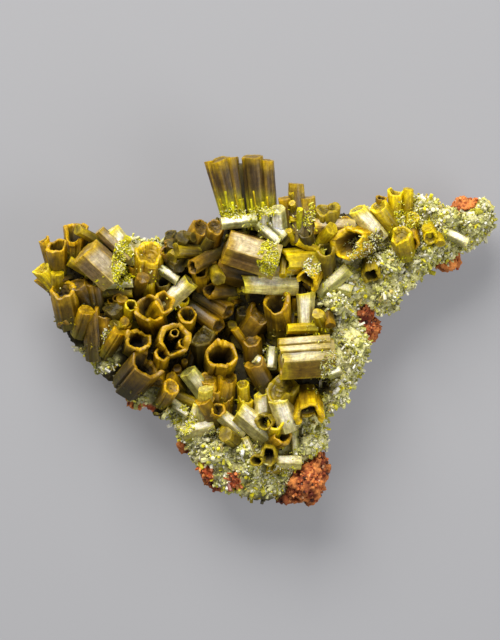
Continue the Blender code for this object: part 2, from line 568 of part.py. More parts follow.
def combine(base, other, operation):
    """Applies an exact Boolean to base with other, then removes other."""
    modifier = base.modifiers.new("combine", "BOOLEAN")
    modifier.operation = operation
    modifier.solver = "EXACT"
    modifier.use_self = True
    modifier.object = other
    bpy.context.view_layer.update()
    evaluated = base.evaluated_get(bpy.context.evaluated_depsgraph_get())
    data = bpy.data.meshes.new_from_object(evaluated)
    base.modifiers.clear()
    base.data = data
    bpy.data.objects.remove(other)
    return base


def islands(mesh):
    """The separate shells of a bmesh, as lists of faces."""
    found, seen = [], set()
    for start in mesh.faces:
        if start in seen:
            continue
        seen.add(start)
        shell, todo = [], [start]
        while todo:
            face = todo.pop()
            shell.append(face)
            for edge in face.edges:
                for near in edge.link_faces:
                    if near not in seen:
                        seen.add(near)
                        todo.append(near)
        found.append(shell)
    return found


def shell_volume(shell):
    """The volume that a shell of faces closes in."""
    total = 0.0
    for face in shell:
        corners = [v.co for v in face.verts]
        for i in range(1, len(corners) - 1):
            total += corners[0].dot(corners[i].cross(corners[i + 1])) / 6
    return total


def tidy(made):
    """Welds doubled points, makes one of flat neighbouring faces, and keeps only the largest shell."""
    mesh = bmesh.new()
    mesh.from_mesh(made.data)
    bmesh.ops.remove_doubles(mesh, verts=mesh.verts, dist=WELD)
    bmesh.ops.dissolve_degenerate(mesh, edges=mesh.edges, dist=WELD)
    bmesh.ops.dissolve_limit(mesh, angle_limit=FLAT_ENOUGH, verts=mesh.verts, edges=mesh.edges)
    bmesh.ops.triangulate(mesh, faces=mesh.faces)
    shells = islands(mesh)
    largest = max(shells, key=shell_volume)
    for shell in shells:
        if shell is not largest:
            bmesh.ops.delete(mesh, geom=shell, context="FACES")
    loose = [v for v in mesh.verts if not v.link_faces]
    bmesh.ops.delete(mesh, geom=loose, context="VERTS")
    mesh.to_mesh(made.data)
    mesh.free()


def finish_node(made, tone):
    """Brings a node from millimetres to metres and gives it its material."""
    for vert in made.data.vertices:
        vert.co *= MM
    colour, roughness = TONES[tone]
    material = bpy.data.materials.get(tone) or bpy.data.materials.new(tone)
    material.use_nodes = True
    shader = material.node_tree.nodes["Principled BSDF"]
    shader.inputs["Base Color"].default_value = (*colour, 1.0)
    shader.inputs["Roughness"].default_value = roughness
    made.data.materials.clear()
    made.data.materials.append(material)


def grow_mesh(mesh, distance):
    """Moves each point of a closed shape outwards."""
    mesh.normal_update()
    for vert in mesh.verts:
        vert.co += vert.normal * distance


def crystal_cutter(made, ridges, lumps):
    """Filled shapes, grown by the clearance, of the crystals near some lumps and of all the ridges."""
    close = [c for c in made if any(Vector((c.x - x, c.y - y)).length < LUMP_REACH for x, y, *_ in lumps)]
    return joined("cutter", [crystal_mesh(c, GAP) for c in close] + [bar_mesh(*feet, GAP) for feet in ridges])


def near(first, second):
    """Whether two crystals could touch."""
    reach = (first.length + second.length) / 2 + (first.width + second.width) / 2
    middles = [foot_of(c) + axes_of(c)[0] * c.length / 2 for c in (first, second)]
    return (middles[0] - middles[1]).length < reach


def main():
    for old in list(bpy.data.objects):
        bpy.data.objects.remove(old)
    done, ridges = [], []
    for name, cluster in CLUSTERS.items():
        bars = bars_of(cluster)
        node = joined(name, [crystal_mesh(c) for c in cluster] + [bar_mesh(*feet) for feet in bars])
        combine(node, new_object("crust_cutter", crust_mesh(GAP)), "DIFFERENCE")
        cutters = [crystal_mesh(c, GAP) for c in done if any(near(c, mine) for mine in cluster)]
        cutters += [bar_mesh(*feet, GAP) for feet in ridges]
        if cutters:
            combine(node, joined("cutter", cutters), "DIFFERENCE")
        tidy(node)
        finish_node(node, cluster[0].tone)
        done += cluster
        ridges += bars

    rng = random.Random(SEED + 2)
    mounds = [lump_mesh(*row, rng) for row in MOUNDS]
    grown_mounds = [mound.copy() for mound in mounds]
    for mound in grown_mounds:
        grow_mesh(mound, GAP)
    crust = new_object("grain_crust", crust_mesh(0.0))
    mounds = combine(joined("mounds", mounds), crystal_cutter(done, ridges, MOUNDS), "DIFFERENCE")
    combine(crust, mounds, "UNION")
    tidy(crust)
    finish_node(crust, "druse")

    matrix = new_object("gossan_matrix", matrix_mesh())
    lumps = joined("lumps", [lump_mesh(*row, rng) for row in LUMPS])
    lumps = combine(lumps, crystal_cutter(done, ridges, LUMPS), "DIFFERENCE")
    combine(matrix, lumps, "UNION")
    combine(matrix, joined("crust_cutter", [crust_mesh(GAP)] + grown_mounds), "DIFFERENCE")
    tidy(matrix)
    finish_node(matrix, "gossan")


main()
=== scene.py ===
"""The looks of a pyromorphite specimen: ribbed hollow barrels, crusts of small prisms and crumbly gossan.

Sizes and places are in millimetres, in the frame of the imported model, until a mesh is made. The specimen
lies on its flat back, so the camera looks straight down on the display face, with +Y to the top of the
picture.
"""

import json
import math
from dataclasses import dataclass

import bpy
import numpy as np
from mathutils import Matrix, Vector, noise
from mathutils.bvhtree import BVHTree


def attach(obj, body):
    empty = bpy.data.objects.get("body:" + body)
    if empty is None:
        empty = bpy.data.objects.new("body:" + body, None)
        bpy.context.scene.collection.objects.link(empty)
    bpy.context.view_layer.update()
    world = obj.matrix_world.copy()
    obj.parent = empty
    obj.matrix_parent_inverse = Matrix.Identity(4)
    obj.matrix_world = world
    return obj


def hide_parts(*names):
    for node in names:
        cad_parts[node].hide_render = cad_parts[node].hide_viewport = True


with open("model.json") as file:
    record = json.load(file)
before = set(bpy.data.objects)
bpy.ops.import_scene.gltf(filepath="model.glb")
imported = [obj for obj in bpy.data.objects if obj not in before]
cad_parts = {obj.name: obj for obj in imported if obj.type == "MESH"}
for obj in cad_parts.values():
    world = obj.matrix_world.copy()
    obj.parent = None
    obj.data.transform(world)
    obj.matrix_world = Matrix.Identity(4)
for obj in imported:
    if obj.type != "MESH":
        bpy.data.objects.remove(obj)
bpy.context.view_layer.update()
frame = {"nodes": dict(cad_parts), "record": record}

MM = 0.001
SEED = 11
TURN = 2 * math.pi
DOWN = Vector((0, 0, -1))
SKY = 30.0  # a height over everything, to look down from

# The crust's top surface, as the solids have it: middle x and y, half widths, and how far it swells
BED_HEIGHT = 6.4
SWELLS = (
    (-3.5, 1.0, 6.5, 5.0, -2.4), (1.5, 10.5, 7.0, 2.6, 2.2), (8.5, 0.5, 3.2, 4.5, 1.1),
    (-14.5, 8.0, 3.5, 2.6, 0.9), (24.0, 12.0, 3.5, 4.0, -0.9), (1.0, -15.0, 4.0, 3.0, -0.6),
)
ROOT = 0.9  # how deep a crystal's foot starts under the crust's top
# FACE_TOWARDS is half way between the key light and the camera, so a broad side that looks there carries a
# painted sheen
FACE_TOWARDS = Vector((-0.12, 0.42, 0.9))  # where a flat crystal's broad side looks

# The picture: 50 mm wide at the crystals, and its middle on the display face
VIEW_HEIGHT = 64.0
VIEW_MIDDLE = (0.0, 2.5, 8.0)
CAMERA_DISTANCE = 560.0
SENSOR = 36.0


@dataclass
class Crystal:
    """One six-sided crystal. Its tip's place and its sizes are in millimetres, and its angles in degrees."""

    tone: str
    x: float
    y: float
    heading: float  # the way the tip points on the display face, anticlockwise from +X
    rise: float  # how far the tip points up out of the face
    length: float
    width: float
    foot: float  # the foot's width as a share of the tip's
    hollow: float = 0  # the hollow's depth as a share of the length
    roll: float = 0  # the turn about its own axis, or None for a side that looks to FACE_TOWARDS
    lift: float = 0  # how far the foot is raised, for a crystal that lies across others


# Crystals that grew together, by the node that they make.
# Each row: tone, tip x, tip y, heading, rise, length, width, foot, hollow, roll and lift
GROUPS = {
    "twin_columns": (
        ("mauve", -3, 18.7, 103, 9, 7.2, 2.1, 0.62, 0, 10, 0.35),
        ("mauve", -1.9, 18.8, 99, 9, 7.2, 1.5, 0.65, 0, 20, 0.35),
        ("mauve", -4.1, 18.4, 106, 8, 7, 1.1, 0.7, 0, 0, 0.3),
        ("mauve", 0.2, 18.9, 95, 9, 7.4, 2.2, 0.8, 0, 0, 0.35),
        ("mauve", 1.6, 18.6, 94, 8, 7.1, 1.6, 0.85, 0, 15, 0.25),
        ("lime", -0.9, 14.6, 96, 12, 3.2, 0.6, 0.8, 0, 0, 0.5),
        ("dark", -1, 18.2, 98, 8, 6.8, 1.3, 0.8),
    ),
    "spire": (
        ("rose", 4.6, 16.3, 92, 12, 6, 1.5, 1.5, 0, 30, 0.25),
        ("rose", 5.6, 14.8, 93, 14, 4.6, 1.8, 1, 0, 0, 0.25),
        ("amber", 3.5, 14.8, 98, 14, 4, 1.5, 1, 0, 30, 0.25),
        ("yellow", 4.1, 15.2, 110, 30, 1.6, 0.6, 1, 0, 0, 2.6),
        ("yellow", 4.2, 14.2, 100, 50, 1.4, 0.7, 1, 0, 0, 2.4),
        ("yellow", 3.9, 12.6, 170, 20, 1.8, 0.6, 1, 0, 0, 1.8),
        ("lime", 5, 13.6, 85, 30, 3, 0.6, 0.8, 0, 0, 1),
    ),
    "silver_prism_west": (("silver", -2.9, 12.1, 187, 6, 3.6, 1.4, 1, 0, None, 2.1),),
    "silver_prisms_east": (
        ("silver", 3.6, 10.8, -42, 4, 3.2, 1.2, 1, 0, None, 2.2),
        ("silver", 2.7, 13.6, 95, 32, 3.4, 1.7, 1, 0, None, 0.3),
        ("silver", 1.7, 13.4, 80, 36, 3, 1.1, 1, 0, None, 0.3),
        ("silver", 2.9, 10.2, -42, 4, 2.9, 1.2, 1, 0, None, 1.7),
    ),
    "centre_slab": (
        ("beige", -2.5, 9.9, 163, 8, 5.4, 3.7, 1, 0, None, 1.9),
        ("brown", -3.8, 8, 166, 4, 5.4, 2.8, 1, 0.35, 0, 0.9),
    ),
    "inner_slab": (
        ("cream", -0.8, 6.1, 178, 8, 5.6, 2, 1, 0.3, None, 1.3),
        ("cream", 0.8, 7.2, 185, 5, 3.6, 1.1, 1, 0, None, 1.8),
    ),
    "striated_barrel": (
        ("honey", 3, -1.6, 184, 8, 5.4, 4, 0.95, 0, None, 1.9),
        ("honey", 2.8, 0.1, 184, 8, 5.2, 1.3, 1, 0, None, 2.6),
        ("honey", 3, -0.6, 184, 8, 5, 1.1, 1, 0, None, 3),
        ("cream", 3.2, -1.3, 184, 8, 4.8, 1, 1, 0, None, 3.2),
        ("amber", 3, -2.9, 184, 8, 5, 1.2, 1, 0, 0, 2.3),
        ("yellow", 3.6, 1.6, 182, 8, 3.2, 1, 1, 0, 0, 1.4),
        ("yellow", 7.4, -2, 285, 30, 2.6, 1.7, 0.9, 0.12, 0, 0.6),
    ),
    "left_slab": (
        ("rose", -16.5, 9.4, 137, 12, 4.1, 3.3, 0.95, 0, None, 1.9),
        ("rose", -15.1, 11.5, 137, 12, 4.2, 1.2, 1, 0, None, 1.6),
        ("cream", -13.9, 11.6, 128, 15, 4.2, 1.7, 1, 0, None, 0.9),
        ("yellow", -18.1, 8.4, 150, 10, 2.6, 1.1, 0.9, 0, None, 1.2),
    ),
    "left_flared_barrel": (("amber", -17.4, 11.9, 88, 6, 3.8, 2.6, 0.6, 0.5, 0, 0.3),),
    "left_fan": (
        ("amber", -19.4, 10.1, 95, 38, 4.2, 2.1, 0.75, 0.6, 10, 0.2),
        ("amber", -20.7, 10.7, 105, 10, 4.2, 1.2, 0.8, 0.12, 0, 0.3),
        ("yellow", -21.2, 8, 130, 8, 4.2, 2, 0.8, 0.12, 20, 0.2),
        ("amber", -21.3, 6.9, 140, 5, 3.8, 1.3, 0.9, 0.2, 0, 0.1),
        ("yellow", -19.3, 7.3, 90, 35, 2.6, 1.4, 1, 0, None, 0.5),
    ),
    "left_wall_barrels": (
        ("amber", -18.8, 5.8, 100, 28, 4.4, 2.6, 0.95, 0.3, 0, 0.4),
        ("brown", -17.4, 6.3, 120, 35, 3.4, 1.9, 0.9, 0.12, 20, 0.4),
        ("brown", -15.8, 6.7, 100, 25, 3.4, 2.1, 0.9, 0.12, 0, 0.4),
        ("brown", -18.9, 2.8, 160, 20, 2.8, 1.8, 0.9, 0.12, 0, 0.3),
        ("olive", -17.4, 1, 225, 15, 2.6, 1.6, 0.9, 0.2, 20, 0.2),
    ),
    "west_columns": (
        ("brown", -16, 3.7, 94, 14, 5.4, 1.8, 0.9, 0.25, 0, 0.5),
        ("brown", -14.6, 3.2, 92, 16, 4.8, 1.7, 0.9, 0.25, 30, 0.3),
        ("amber", -13.8, 4.6, 88, 20, 3.4, 1, 0.8, 0.2, 0, 0.4),
        ("cream", -17.6, 2.7, 180, 20, 2.2, 0.9, 1, 0, None, 0.6),
    ),
    "north_west_barrel": (
        ("gold", -10, 9.6, 84, 26, 3.1, 3, 0.9, 0.3, 0, 1.1),
        ("brown", -11.7, 8.2, 100, 25, 3.2, 1.2, 0.9, 0.2, 0, 0.5),
        ("lime", -13.5, 9, 115, 20, 3, 0.9, 0.9, 0, 0, 0.8),
        ("lime", -12.2, 10.7, 60, 30, 2.6, 0.9, 0.9, 0, 0, 0.6),
    ),
    "lying_prisms": (
        ("silver", -11.7, 6.2, 3, 6, 4, 1, 1, 0, None, 1.3),
        ("olive", -11.7, 5.3, 0, 5, 3.6, 1.1, 1, 0, 0, 1),
    ),
    "basin_ring_west": (
        ("amber", -11, 0.7, 60, 74, 4.6, 2.8, 0.85, 0.7, 0, 0.3),
        ("amber", -10.3, 3.8, 110, 58, 4.6, 3, 0.85, 0.65, 15, 0.3),
        ("amber", -8.4, 4.5, 50, 45, 4.2, 2.2, 0.85, 0.55, 0, 0.4),
        ("yellow", -11.9, 4.1, 70, 55, 3.8, 1.3, 0.85, 0.5, 0, 0.3),
        ("cream", -12.6, 4.7, 90, 30, 2.6, 0.9, 1, 0, None, 0.4),
        ("yellow", -10.2, 6.8, 92, 30, 3.6, 1.6, 0.9, 0.2, 0, 0.5),
    ),
    "basin_ring_east": (
        ("amber", -7.4, 0.7, 45, 74, 5, 3.4, 0.85, 0.7, 0, 0.3),
        ("dark", -8.7, 6.5, 90, 40, 3.2, 1.6, 0.9, 0.3, 0, 0.3),
        ("amber", -7.5, 1.2, 45, 74, 2.4, 0.9, 0.9, 0.6, 0, 2.6),
        ("amber", -6.7, 0.2, 45, 74, 2.4, 1, 0.9, 0.6, 20, 2.6),
    ),
    "basin_south_west": (
        ("brown", -9.9, -1.7, 48, 45, 5, 3.6, 0.85, 0.55, 10, 0.3),
        ("amber", -8.8, -0.8, 80, 60, 4, 1.6, 0.9, 0.3, 0, 0.2),
        ("amber", -7.8, -4.1, 60, 50, 3.4, 1.8, 0.85, 0.12, 0, 0.4),
        ("amber", -9.5, -4, 250, 40, 3.2, 1.8, 0.9, 0.12, 0, 0.3),
    ),
    "basin_centre": (
        ("amber", -2.8, -0.8, 75, 66, 4.8, 3.3, 0.85, 0.7, 0, 0.4),
        ("dark", -4.8, 1, 95, 45, 4.4, 2.6, 0.85, 0.12, 0, 0.3),
        ("amber", -1.6, 1.7, 125, 20, 3.6, 0.9, 1, 0, 0, 1.4),
        ("brown", 0.2, 0.6, 95, 30, 3.8, 2, 0.9, 0.12, 0, 0.6),
        ("silver", 1.4, -0.9, -30, 10, 2.2, 0.9, 1, 0, None, 1.4),
    ),
    "basin_prisms": (
        ("brown", -3, 1.7, -36, 22, 4.4, 1.9, 0.95, 0.12, 0, 0.9),
        ("brown", -2, 3.1, -32, 22, 4.2, 2, 0.95, 0.12, 0, 1),
        ("dark", -0.7, 3.6, 80, 35, 3.4, 1.3, 0.9, 0.12, 0, 0.4),
    ),
    "north_brown_barrels": (
        ("brown", -4.7, 12.1, 60, 18, 4.8, 2.1, 0.9, 0.12, 0, 0.4),
        ("brown", -3.4, 12, 78, 42, 4.2, 1.8, 0.85, 0.12, 0, 0.3),
        ("brown", -6.6, 9.9, 90, 35, 2.8, 1.3, 0.9, 0.2, 0, 0.4),
        ("dark", -6.9, 11.4, 88, 15, 2.9, 1.2, 0.9, 0.12, 0, 0.3),
        ("dark", -8, 11.4, 95, 15, 2.9, 1.2, 0.9, 0.12, 0, 0.2),
    ),
    "north_basin_barrels": (
        ("amber", -5, 7.8, 93, 48, 5, 1.9, 0.85, 0.6, 0, 0.3),
        ("cream", -5.9, 6.4, 42, 22, 3.8, 1.9, 1, 0.15, None, 1.3),
        ("silver", -7.2, 6.4, -35, 8, 2.6, 1.1, 1, 0, None, 1.6),
        ("yellow", -6.7, 4.8, 82, 40, 3.4, 1.2, 0.9, 0.2, 0, 0.4),
        ("amber", -6.3, 3.2, 85, 50, 4, 1.9, 0.85, 0.6, 0, 0.3),
    ),
    "east_basin_barrels": (
        ("brown", 1.5, 3.6, 55, 20, 4.6, 3, 0.9, 0.12, 0, 0.9),
        ("amber", 2.7, 4.7, 97, 38, 4.6, 3, 0.9, 0.5, 15, 0.5),
        ("cream", 5.6, 5.3, 90, 10, 4.2, 2, 0.6, 0.2, None, 1.1),
        ("gold", 5.6, 6.1, 245, 45, 3.4, 2.3, 0.85, 0.6, 0, 0.5),
        ("yellow", 6.8, 3.2, 110, 50, 2.8, 1.3, 1, 0, 0, 0.5),
    ),
    "side_barrel": (
        ("yellow", 3, 8.4, 182, 22, 4.4, 2.4, 1, 0.5, 0, 0.7),
        ("yellow", 4.7, 10.4, 155, 15, 3, 1, 1, 0, None, 1.2),
        ("dark", 5.5, 11.4, 100, 40, 3, 1.5, 0.9, 0.5, 0, 0.3),
    ),
    "north_east_barrels": (
        ("gold", 9.3, 10, 190, 48, 4.4, 3.4, 0.85, 0.6, 0, 0.4),
        ("rose", 6.3, 11.9, 180, 8, 4.2, 1.8, 0.85, 0.15, None, 1.5),
        ("olive", 7.7, 14, 90, 18, 3.6, 2.7, 0.9, 0.2, 0, 0.2),
        ("olive", 7.5, 9.7, 95, 40, 4.4, 2, 0.85, 0.5, 0, 0.3),
        ("amber", 9.6, 12.6, 80, 30, 2.6, 1.3, 0.9, 0.12, 0, 0.4),
        ("dark", 12.4, 11.3, 80, 45, 3, 1.8, 0.9, 0.12, 0, 0.3),
    ),
    "arm_north_crystals": (
        ("cream", 10.7, 13.6, 130, 15, 4, 1.9, 1, 0.1, None, 0.9),
        ("yellow", 12.8, 14, 125, 25, 3.6, 1.9, 0.95, 0.12, 0, 0.5),
        ("amber", 13.2, 14.9, 85, 20, 2.8, 1.2, 0.9, 0.3, 0, 0.2),
        ("yellow", 14.6, 15.6, 91, 12, 3.2, 1.7, 0.9, 0.2, 0, 0.2),
        ("yellow", 15.9, 15.8, 88, 12, 3.4, 1.1, 1, 0, 0, 0.3),
        ("yellow", 16.4, 13, 75, 35, 2.8, 1.5, 0.9, 0.12, 0, 0.4),
    ),
    "arm_south_crystals": (
        ("yellow", 15, 11.2, 105, 50, 3.6, 2.3, 0.9, 0.2, 0, 0.5),
        ("amber", 16.1, 10, 268, 35, 3, 1.8, 0.9, 0.5, 0, 0.5),
        ("yellow", 17.7, 11.8, 100, 40, 2.6, 1.2, 0.9, 0, 0, 0.4),
        ("yellow", 18.1, 10.6, 280, 50, 2.6, 1.5, 0.9, 0.2, 0, 0.4),
        ("yellow", 19.1, 10.1, 290, 50, 2.4, 1, 1, 0, 0, 0.4),
    ),
    "arm_silver_prism": (("silver", 21.9, 10.2, -25, 5, 2.8, 1.2, 1, 0, None, 1),),
    "mint_prisms": (
        ("mint", 9.9, 7.7, 42, 8, 4, 1.5, 1, 0, None, 1.2),
        ("mint", 10.2, 5.4, -15, 10, 3.4, 1.3, 1, 0, None, 0.8),
        ("olive", 12.1, 6.7, 268, 45, 3, 2, 0.9, 0.6, 0, 0.4),
    ),
    "south_amber_barrels": (
        ("olive", 3.3, -3.8, 85, 30, 4.2, 3.2, 0.9, 0.12, 0, 0.5),
        ("brown", 0.3, -1.5, 115, 25, 4, 2.2, 0.9, 0.12, 0, 0.6),
        ("silver", 2.1, -2.4, 265, 15, 2.2, 1.2, 1, 0, None, 1.9),
    ),
    "south_basin_barrels": (
        ("amber", -2.2, -2.8, 85, 22, 3.8, 2, 0.9, 0.12, 0, 0.6),
        ("amber", -4.3, -3.1, 100, 25, 3.6, 1.8, 0.9, 0.12, 0, 0.5),
        ("amber", -3.6, -4.1, 90, 25, 3, 1.8, 0.9, 0.2, 0, 0.5),
        ("mint", -6.3, -2.6, 128, 18, 4, 1.9, 1, 0.1, None, 0.9),
        ("yellow", -0.7, -3.8, 95, 25, 2.8, 1.3, 1, 0.1, 0, 0.6),
    ),
    "cream_prisms": (
        ("cream", 1.2, -4.8, 95, 18, 3.4, 1.7, 1, 0.1, None, 0.8),
        ("cream", 2.9, -5.4, 110, 18, 3.4, 2.2, 1, 0, None, 1.8),
        ("yellow", -0.4, -5.1, 85, 20, 2.8, 1.7, 0.9, 0.2, 0, 0.5),
        ("cream", -1.2, -6.6, 140, 14, 4, 2.3, 1, 0.1, None, 0.9),
        ("cream", -3, -6.9, 140, 16, 3.2, 1.5, 1, 0, None, 0.7),
        ("amber", -2.2, -5.2, 85, 25, 2.6, 1.2, 0.9, 0.2, 0, 0.5),
    ),
    "gold_arch_barrel": (("gold", 5.9, -7.4, 275, 52, 4, 3.1, 0.85, 0.6, 0, 0.5),),
    "south_hollow_barrels": (
        ("amber", 3.5, -9, 30, 50, 3.2, 1.9, 0.85, 0.5, 0, 0.4),
        ("yellow", 2.6, -7.6, 80, 55, 3.4, 1.7, 0.85, 0.6, 0, 0.4),
        ("olive", 1.2, -7.7, 200, 60, 3.4, 1.8, 0.85, 0.6, 0, 0.4),
        ("mint", 4.4, -8.5, 95, 15, 3, 0.9, 1, 0, None, 0.9),
        ("cream", -0.6, -9.2, 112, 15, 2.8, 1, 1, 0, None, 0.7),
    ),
    "south_west_prisms": (
        ("cream", -3.5, -8, 14, 12, 3.4, 1.4, 1, 0, None, 0.7),
        ("olive", -2.6, -9.2, 262, 45, 2.6, 1.5, 0.85, 0.5),
        ("cream", -5.3, -6, 75, 18, 2.8, 0.9, 1, 0, None, 0.6),
        ("olive", -5.5, -5.8, -22, 10, 3.2, 1.1, 1, 0, 0, 0.6),
        ("mint", -6.4, -6.7, -38, 8, 3, 0.9, 1, 0, None, 0.7),
    ),
    "foot_crystals": (
        ("olive", 1.8, -11.4, 260, 55, 3, 1.8, 0.9, 0.6, 0, 0.4),
        ("cream", 2.5, -11.7, 178, 10, 2.6, 1.5, 1, 0, None, 1),
        ("yellow", 1.6, -12.5, 178, 10, 2.2, 0.9, 1, 0, None, 0.7),
        ("silver", 4.5, -11.5, 60, 10, 2.4, 1, 1, 0, None, 0.6),
        ("olive", 0.6, -11.6, 200, 60, 2.6, 1.3, 0.9, 0.6, 0, 0.4),
    ),
}
CLUSTERS = {name: [Crystal(*row) for row in rows] for name, rows in GROUPS.items()}

# Each tone's colours in sRGB: body, rim at the tip, foot, and the painted sheen of the side that looks to
# FACE_TOWARDS, or None where that is like the others. Then its roughness, and how many grooves its sides
# have
TONES = {
    "amber": ((110, 86, 0), (192, 154, 0), (100, 94, 6), None, 0.34, 7),
    "brown": ((78, 60, 4), (150, 116, 0), (66, 60, 8), None, 0.36, 8),
    "mauve": ((84, 64, 30), (182, 150, 2), (176, 172, 6), None, 0.36, 6),
    "gold": ((158, 124, 0), (222, 188, 0), (128, 110, 6), None, 0.32, 6),
    "rose": ((140, 118, 84), (196, 164, 20), (160, 142, 76), (180, 166, 146), 0.3, 5),
    "beige": ((112, 86, 42), (196, 160, 8), (176, 160, 80), (212, 196, 166), 0.3, 5),
    "honey": ((124, 96, 4), (196, 172, 6), (150, 130, 16), (212, 202, 168), 0.34, 9),
    "cream": ((204, 194, 132), (222, 206, 62), (188, 180, 104), (242, 238, 228), 0.3, 3),
    "silver": ((146, 144, 96), (206, 200, 144), (150, 150, 70), (250, 248, 244), 0.16, 6),
    "yellow": ((158, 134, 0), (212, 188, 0), (160, 152, 14), None, 0.34, 5),
    "olive": ((92, 78, 2), (160, 140, 2), (100, 94, 12), None, 0.38, 8),
    "dark": ((48, 40, 3), (96, 82, 4), (46, 42, 8), None, 0.42, 7),
    "mint": ((160, 158, 92), (198, 192, 90), (150, 150, 78), (220, 216, 184), 0.38, 8),
    "lime": ((190, 184, 4), (222, 212, 14), (150, 152, 22), None, 0.36, 3),
}
# Painted shade: the near black that a hollow's colour falls to towards its floor
HOLLOW_SHADE = (12, 8, 1)  # what the tone falls to at a hollow's floor
WALL = 0.34  # a hollow crystal's wall, as a share of its outer radius
FLOOR = 0.36  # the radius of a hollow's floor, as a share too
FULLER = 1.08  # a crystal's radius at its corners, over half its width
LARGE, MEDIUM = 2.2, 1.2  # the widths over which a crystal gets more points, in millimetres
SMOOTH_ANGLE = 32  # a crystal's edges that turn more than this stay sharp, in degrees
CRYSTAL_IOR = 2.06
SPECULAR = 0.13


@dataclass
class Habit:
    """How uneven a kind of crystal is."""

    roundness: float  # 0 for a hexagon, 1 for a circle
    corners: tuple  # its corners' smallest and largest radii, as shares of its own
    deepest: float  # its deepest groove, as a share too
    steps: float  # how high its rim's steps are, against a barrel's
    reach: float  # how far down the rim's colour goes, against a barrel's


SLAB = Habit(0.05, (0.97, 1.03), 0.06, 0.5, 0.35)
BARREL = Habit(0.3, (0.9, 1.08), 0.17, 1.0, 1.0)


def linear(colour):
    """An sRGB colour of 0 to 255 as linear light."""
    share = np.asarray(colour, float) / 255
    return np.where(share <= 0.04045, share / 12.92, ((share + 0.055) / 1.055) ** 2.4)


def smooth(value, low, high):
    share = np.clip((np.asarray(value, float) - low) / (high - low), 0, 1)
    return share * share * (3 - 2 * share)


def blend(first, second, share):
    return first * (1 - share) + second * share


def bed(x, y):
    """The height of the crust's top over the resting face."""
    height = BED_HEIGHT
    for mid_x, mid_y, half_x, half_y, swell in SWELLS:
        height += swell * math.exp(-(((x - mid_x) / half_x) ** 2) - ((y - mid_y) / half_y) ** 2)
    return height


def way_of(heading, rise=0):
    """A direction, from its heading on the display face and its rise out of it."""
    heading, rise = math.radians(heading), math.radians(rise)
    return math.cos(rise) * math.cos(heading), math.cos(rise) * math.sin(heading), math.sin(rise)


def axes_of(crystal):
    """A crystal's axis, and two directions across it. The first looks through the middle of a side face."""
    axis = Vector(way_of(crystal.heading, crystal.rise))
    looks = FACE_TOWARDS if crystal.roll is None else Vector((0, 0, 1))
    across = (looks - axis * looks.dot(axis)).normalized()
    beside = axis.cross(across)
    turn = math.radians(crystal.roll or 0)
    turned = across * math.cos(turn) + beside * math.sin(turn)
    return axis, turned, axis.cross(turned)


def foot_of(crystal):
    """The middle of a crystal's foot, which starts in the crust."""
    axis = axes_of(crystal)[0]
    x, y = crystal.x - axis.x * crystal.length, crystal.y - axis.y * crystal.length
    return Vector((x, y, bed(x, y) - ROOT + crystal.lift))


def placed(name, data):
    """An object with this data, in the scene."""
    made = bpy.data.objects.new(name, data)
    bpy.context.scene.collection.objects.link(made)
    return made


def paint(data, tints, gloss):
    """Gives each of a mesh's points its colour and its roughness."""
    rgba = np.concatenate([tints, np.ones((len(tints), 1))], axis=1).astype(np.float32)
    data.attributes.new("tint", "FLOAT_COLOR", "POINT").data.foreach_set("color", rgba.ravel())
    data.attributes.new("gloss", "FLOAT", "POINT").data.foreach_set("value", gloss)


def read(items, name, kind=np.float32):
    """Rows of three numbers, one for each of a mesh's points or triangles."""
    values = np.empty(len(items) * 3, kind)
    items.foreach_get(name, values)
    return values.reshape(-1, 3)


class Soup:
    """Points and faces gathered for one mesh, with the points' colours, roughness and flow.

    A point's flow is its way round its crystal, its way along it, and a number for the crystal.
    """

    def __init__(self):
        self.points, self.faces, self.tints, self.flows, self.gloss = [], [], [], [], []
        self.count = 0

    def add(self, points, faces, tints, flows, gloss):
        """Takes in one shape. Each block of faces is an array of quads or of triangles."""
        points = np.asarray(points, np.float32)
        self.points.append(points)
        self.faces += [np.asarray(f, np.int32) + self.count for f in faces if len(f)]
        self.tints.append(np.broadcast_to(tints, points.shape).astype(np.float32))
        self.flows.append(np.broadcast_to(flows, points.shape).astype(np.float32))
        self.gloss.append(np.broadcast_to(gloss, len(points)).astype(np.float32))
        self.count += len(points)

    def mesh(self, name, material, smooth_angle):
        """An object in metres, flat-shaded where the smooth angle is None."""
        data = bpy.data.meshes.new(name)
        points = (np.concatenate(self.points) * MM).tolist()
        faces = [face for block in self.faces for face in block.tolist()]
        data.from_pydata(points, [], faces, shade_flat=smooth_angle is None)
        data.validate()
        paint(data, np.concatenate(self.tints), np.concatenate(self.gloss))
        flow = data.attributes.new("flow", "FLOAT_VECTOR", "POINT").data
        flow.foreach_set("vector", np.concatenate(self.flows).ravel())
        if smooth_angle is not None:
            data.set_sharp_from_angle(angle=math.radians(smooth_angle))
        data.materials.append(material)
        return placed(name, data)


def ring_faces(rings, around):
    """Quads between rows of points that close on themselves."""
    low = np.arange(rings - 1)[:, None] * around + np.arange(around)[None, :]
    right = np.arange(rings - 1)[:, None] * around + (np.arange(around)[None, :] + 1) % around
    return np.stack([low, right, right + around, low + around], axis=-1).reshape(-1, 4)


@dataclass
class Outline:
    """A crystal's cross-section, as arrays that go once round it."""

    turns: np.ndarray
    section: np.ndarray  # radii, as shares of the crystal's
    groove: np.ndarray  # how deep its grooves cut in, as shares too
    top: np.ndarray  # how much the rim stands over the crystal's length, in radii
    wall: np.ndarray
    shade: np.ndarray
    reach: np.ndarray  # how far down from the tip the rim's colour goes, as a share of the length
    corner: np.ndarray  # 1 at the six corners
    # The side with the painted sheen
    broad: np.ndarray  # 1 on the side that the first direction across looks through


def blurred(values, times):
    """Values that go once round, each drawn towards its neighbours."""
    for _ in range(times):
        values = values / 2 + (np.roll(values, 1) + np.roll(values, -1)) / 4
    return values


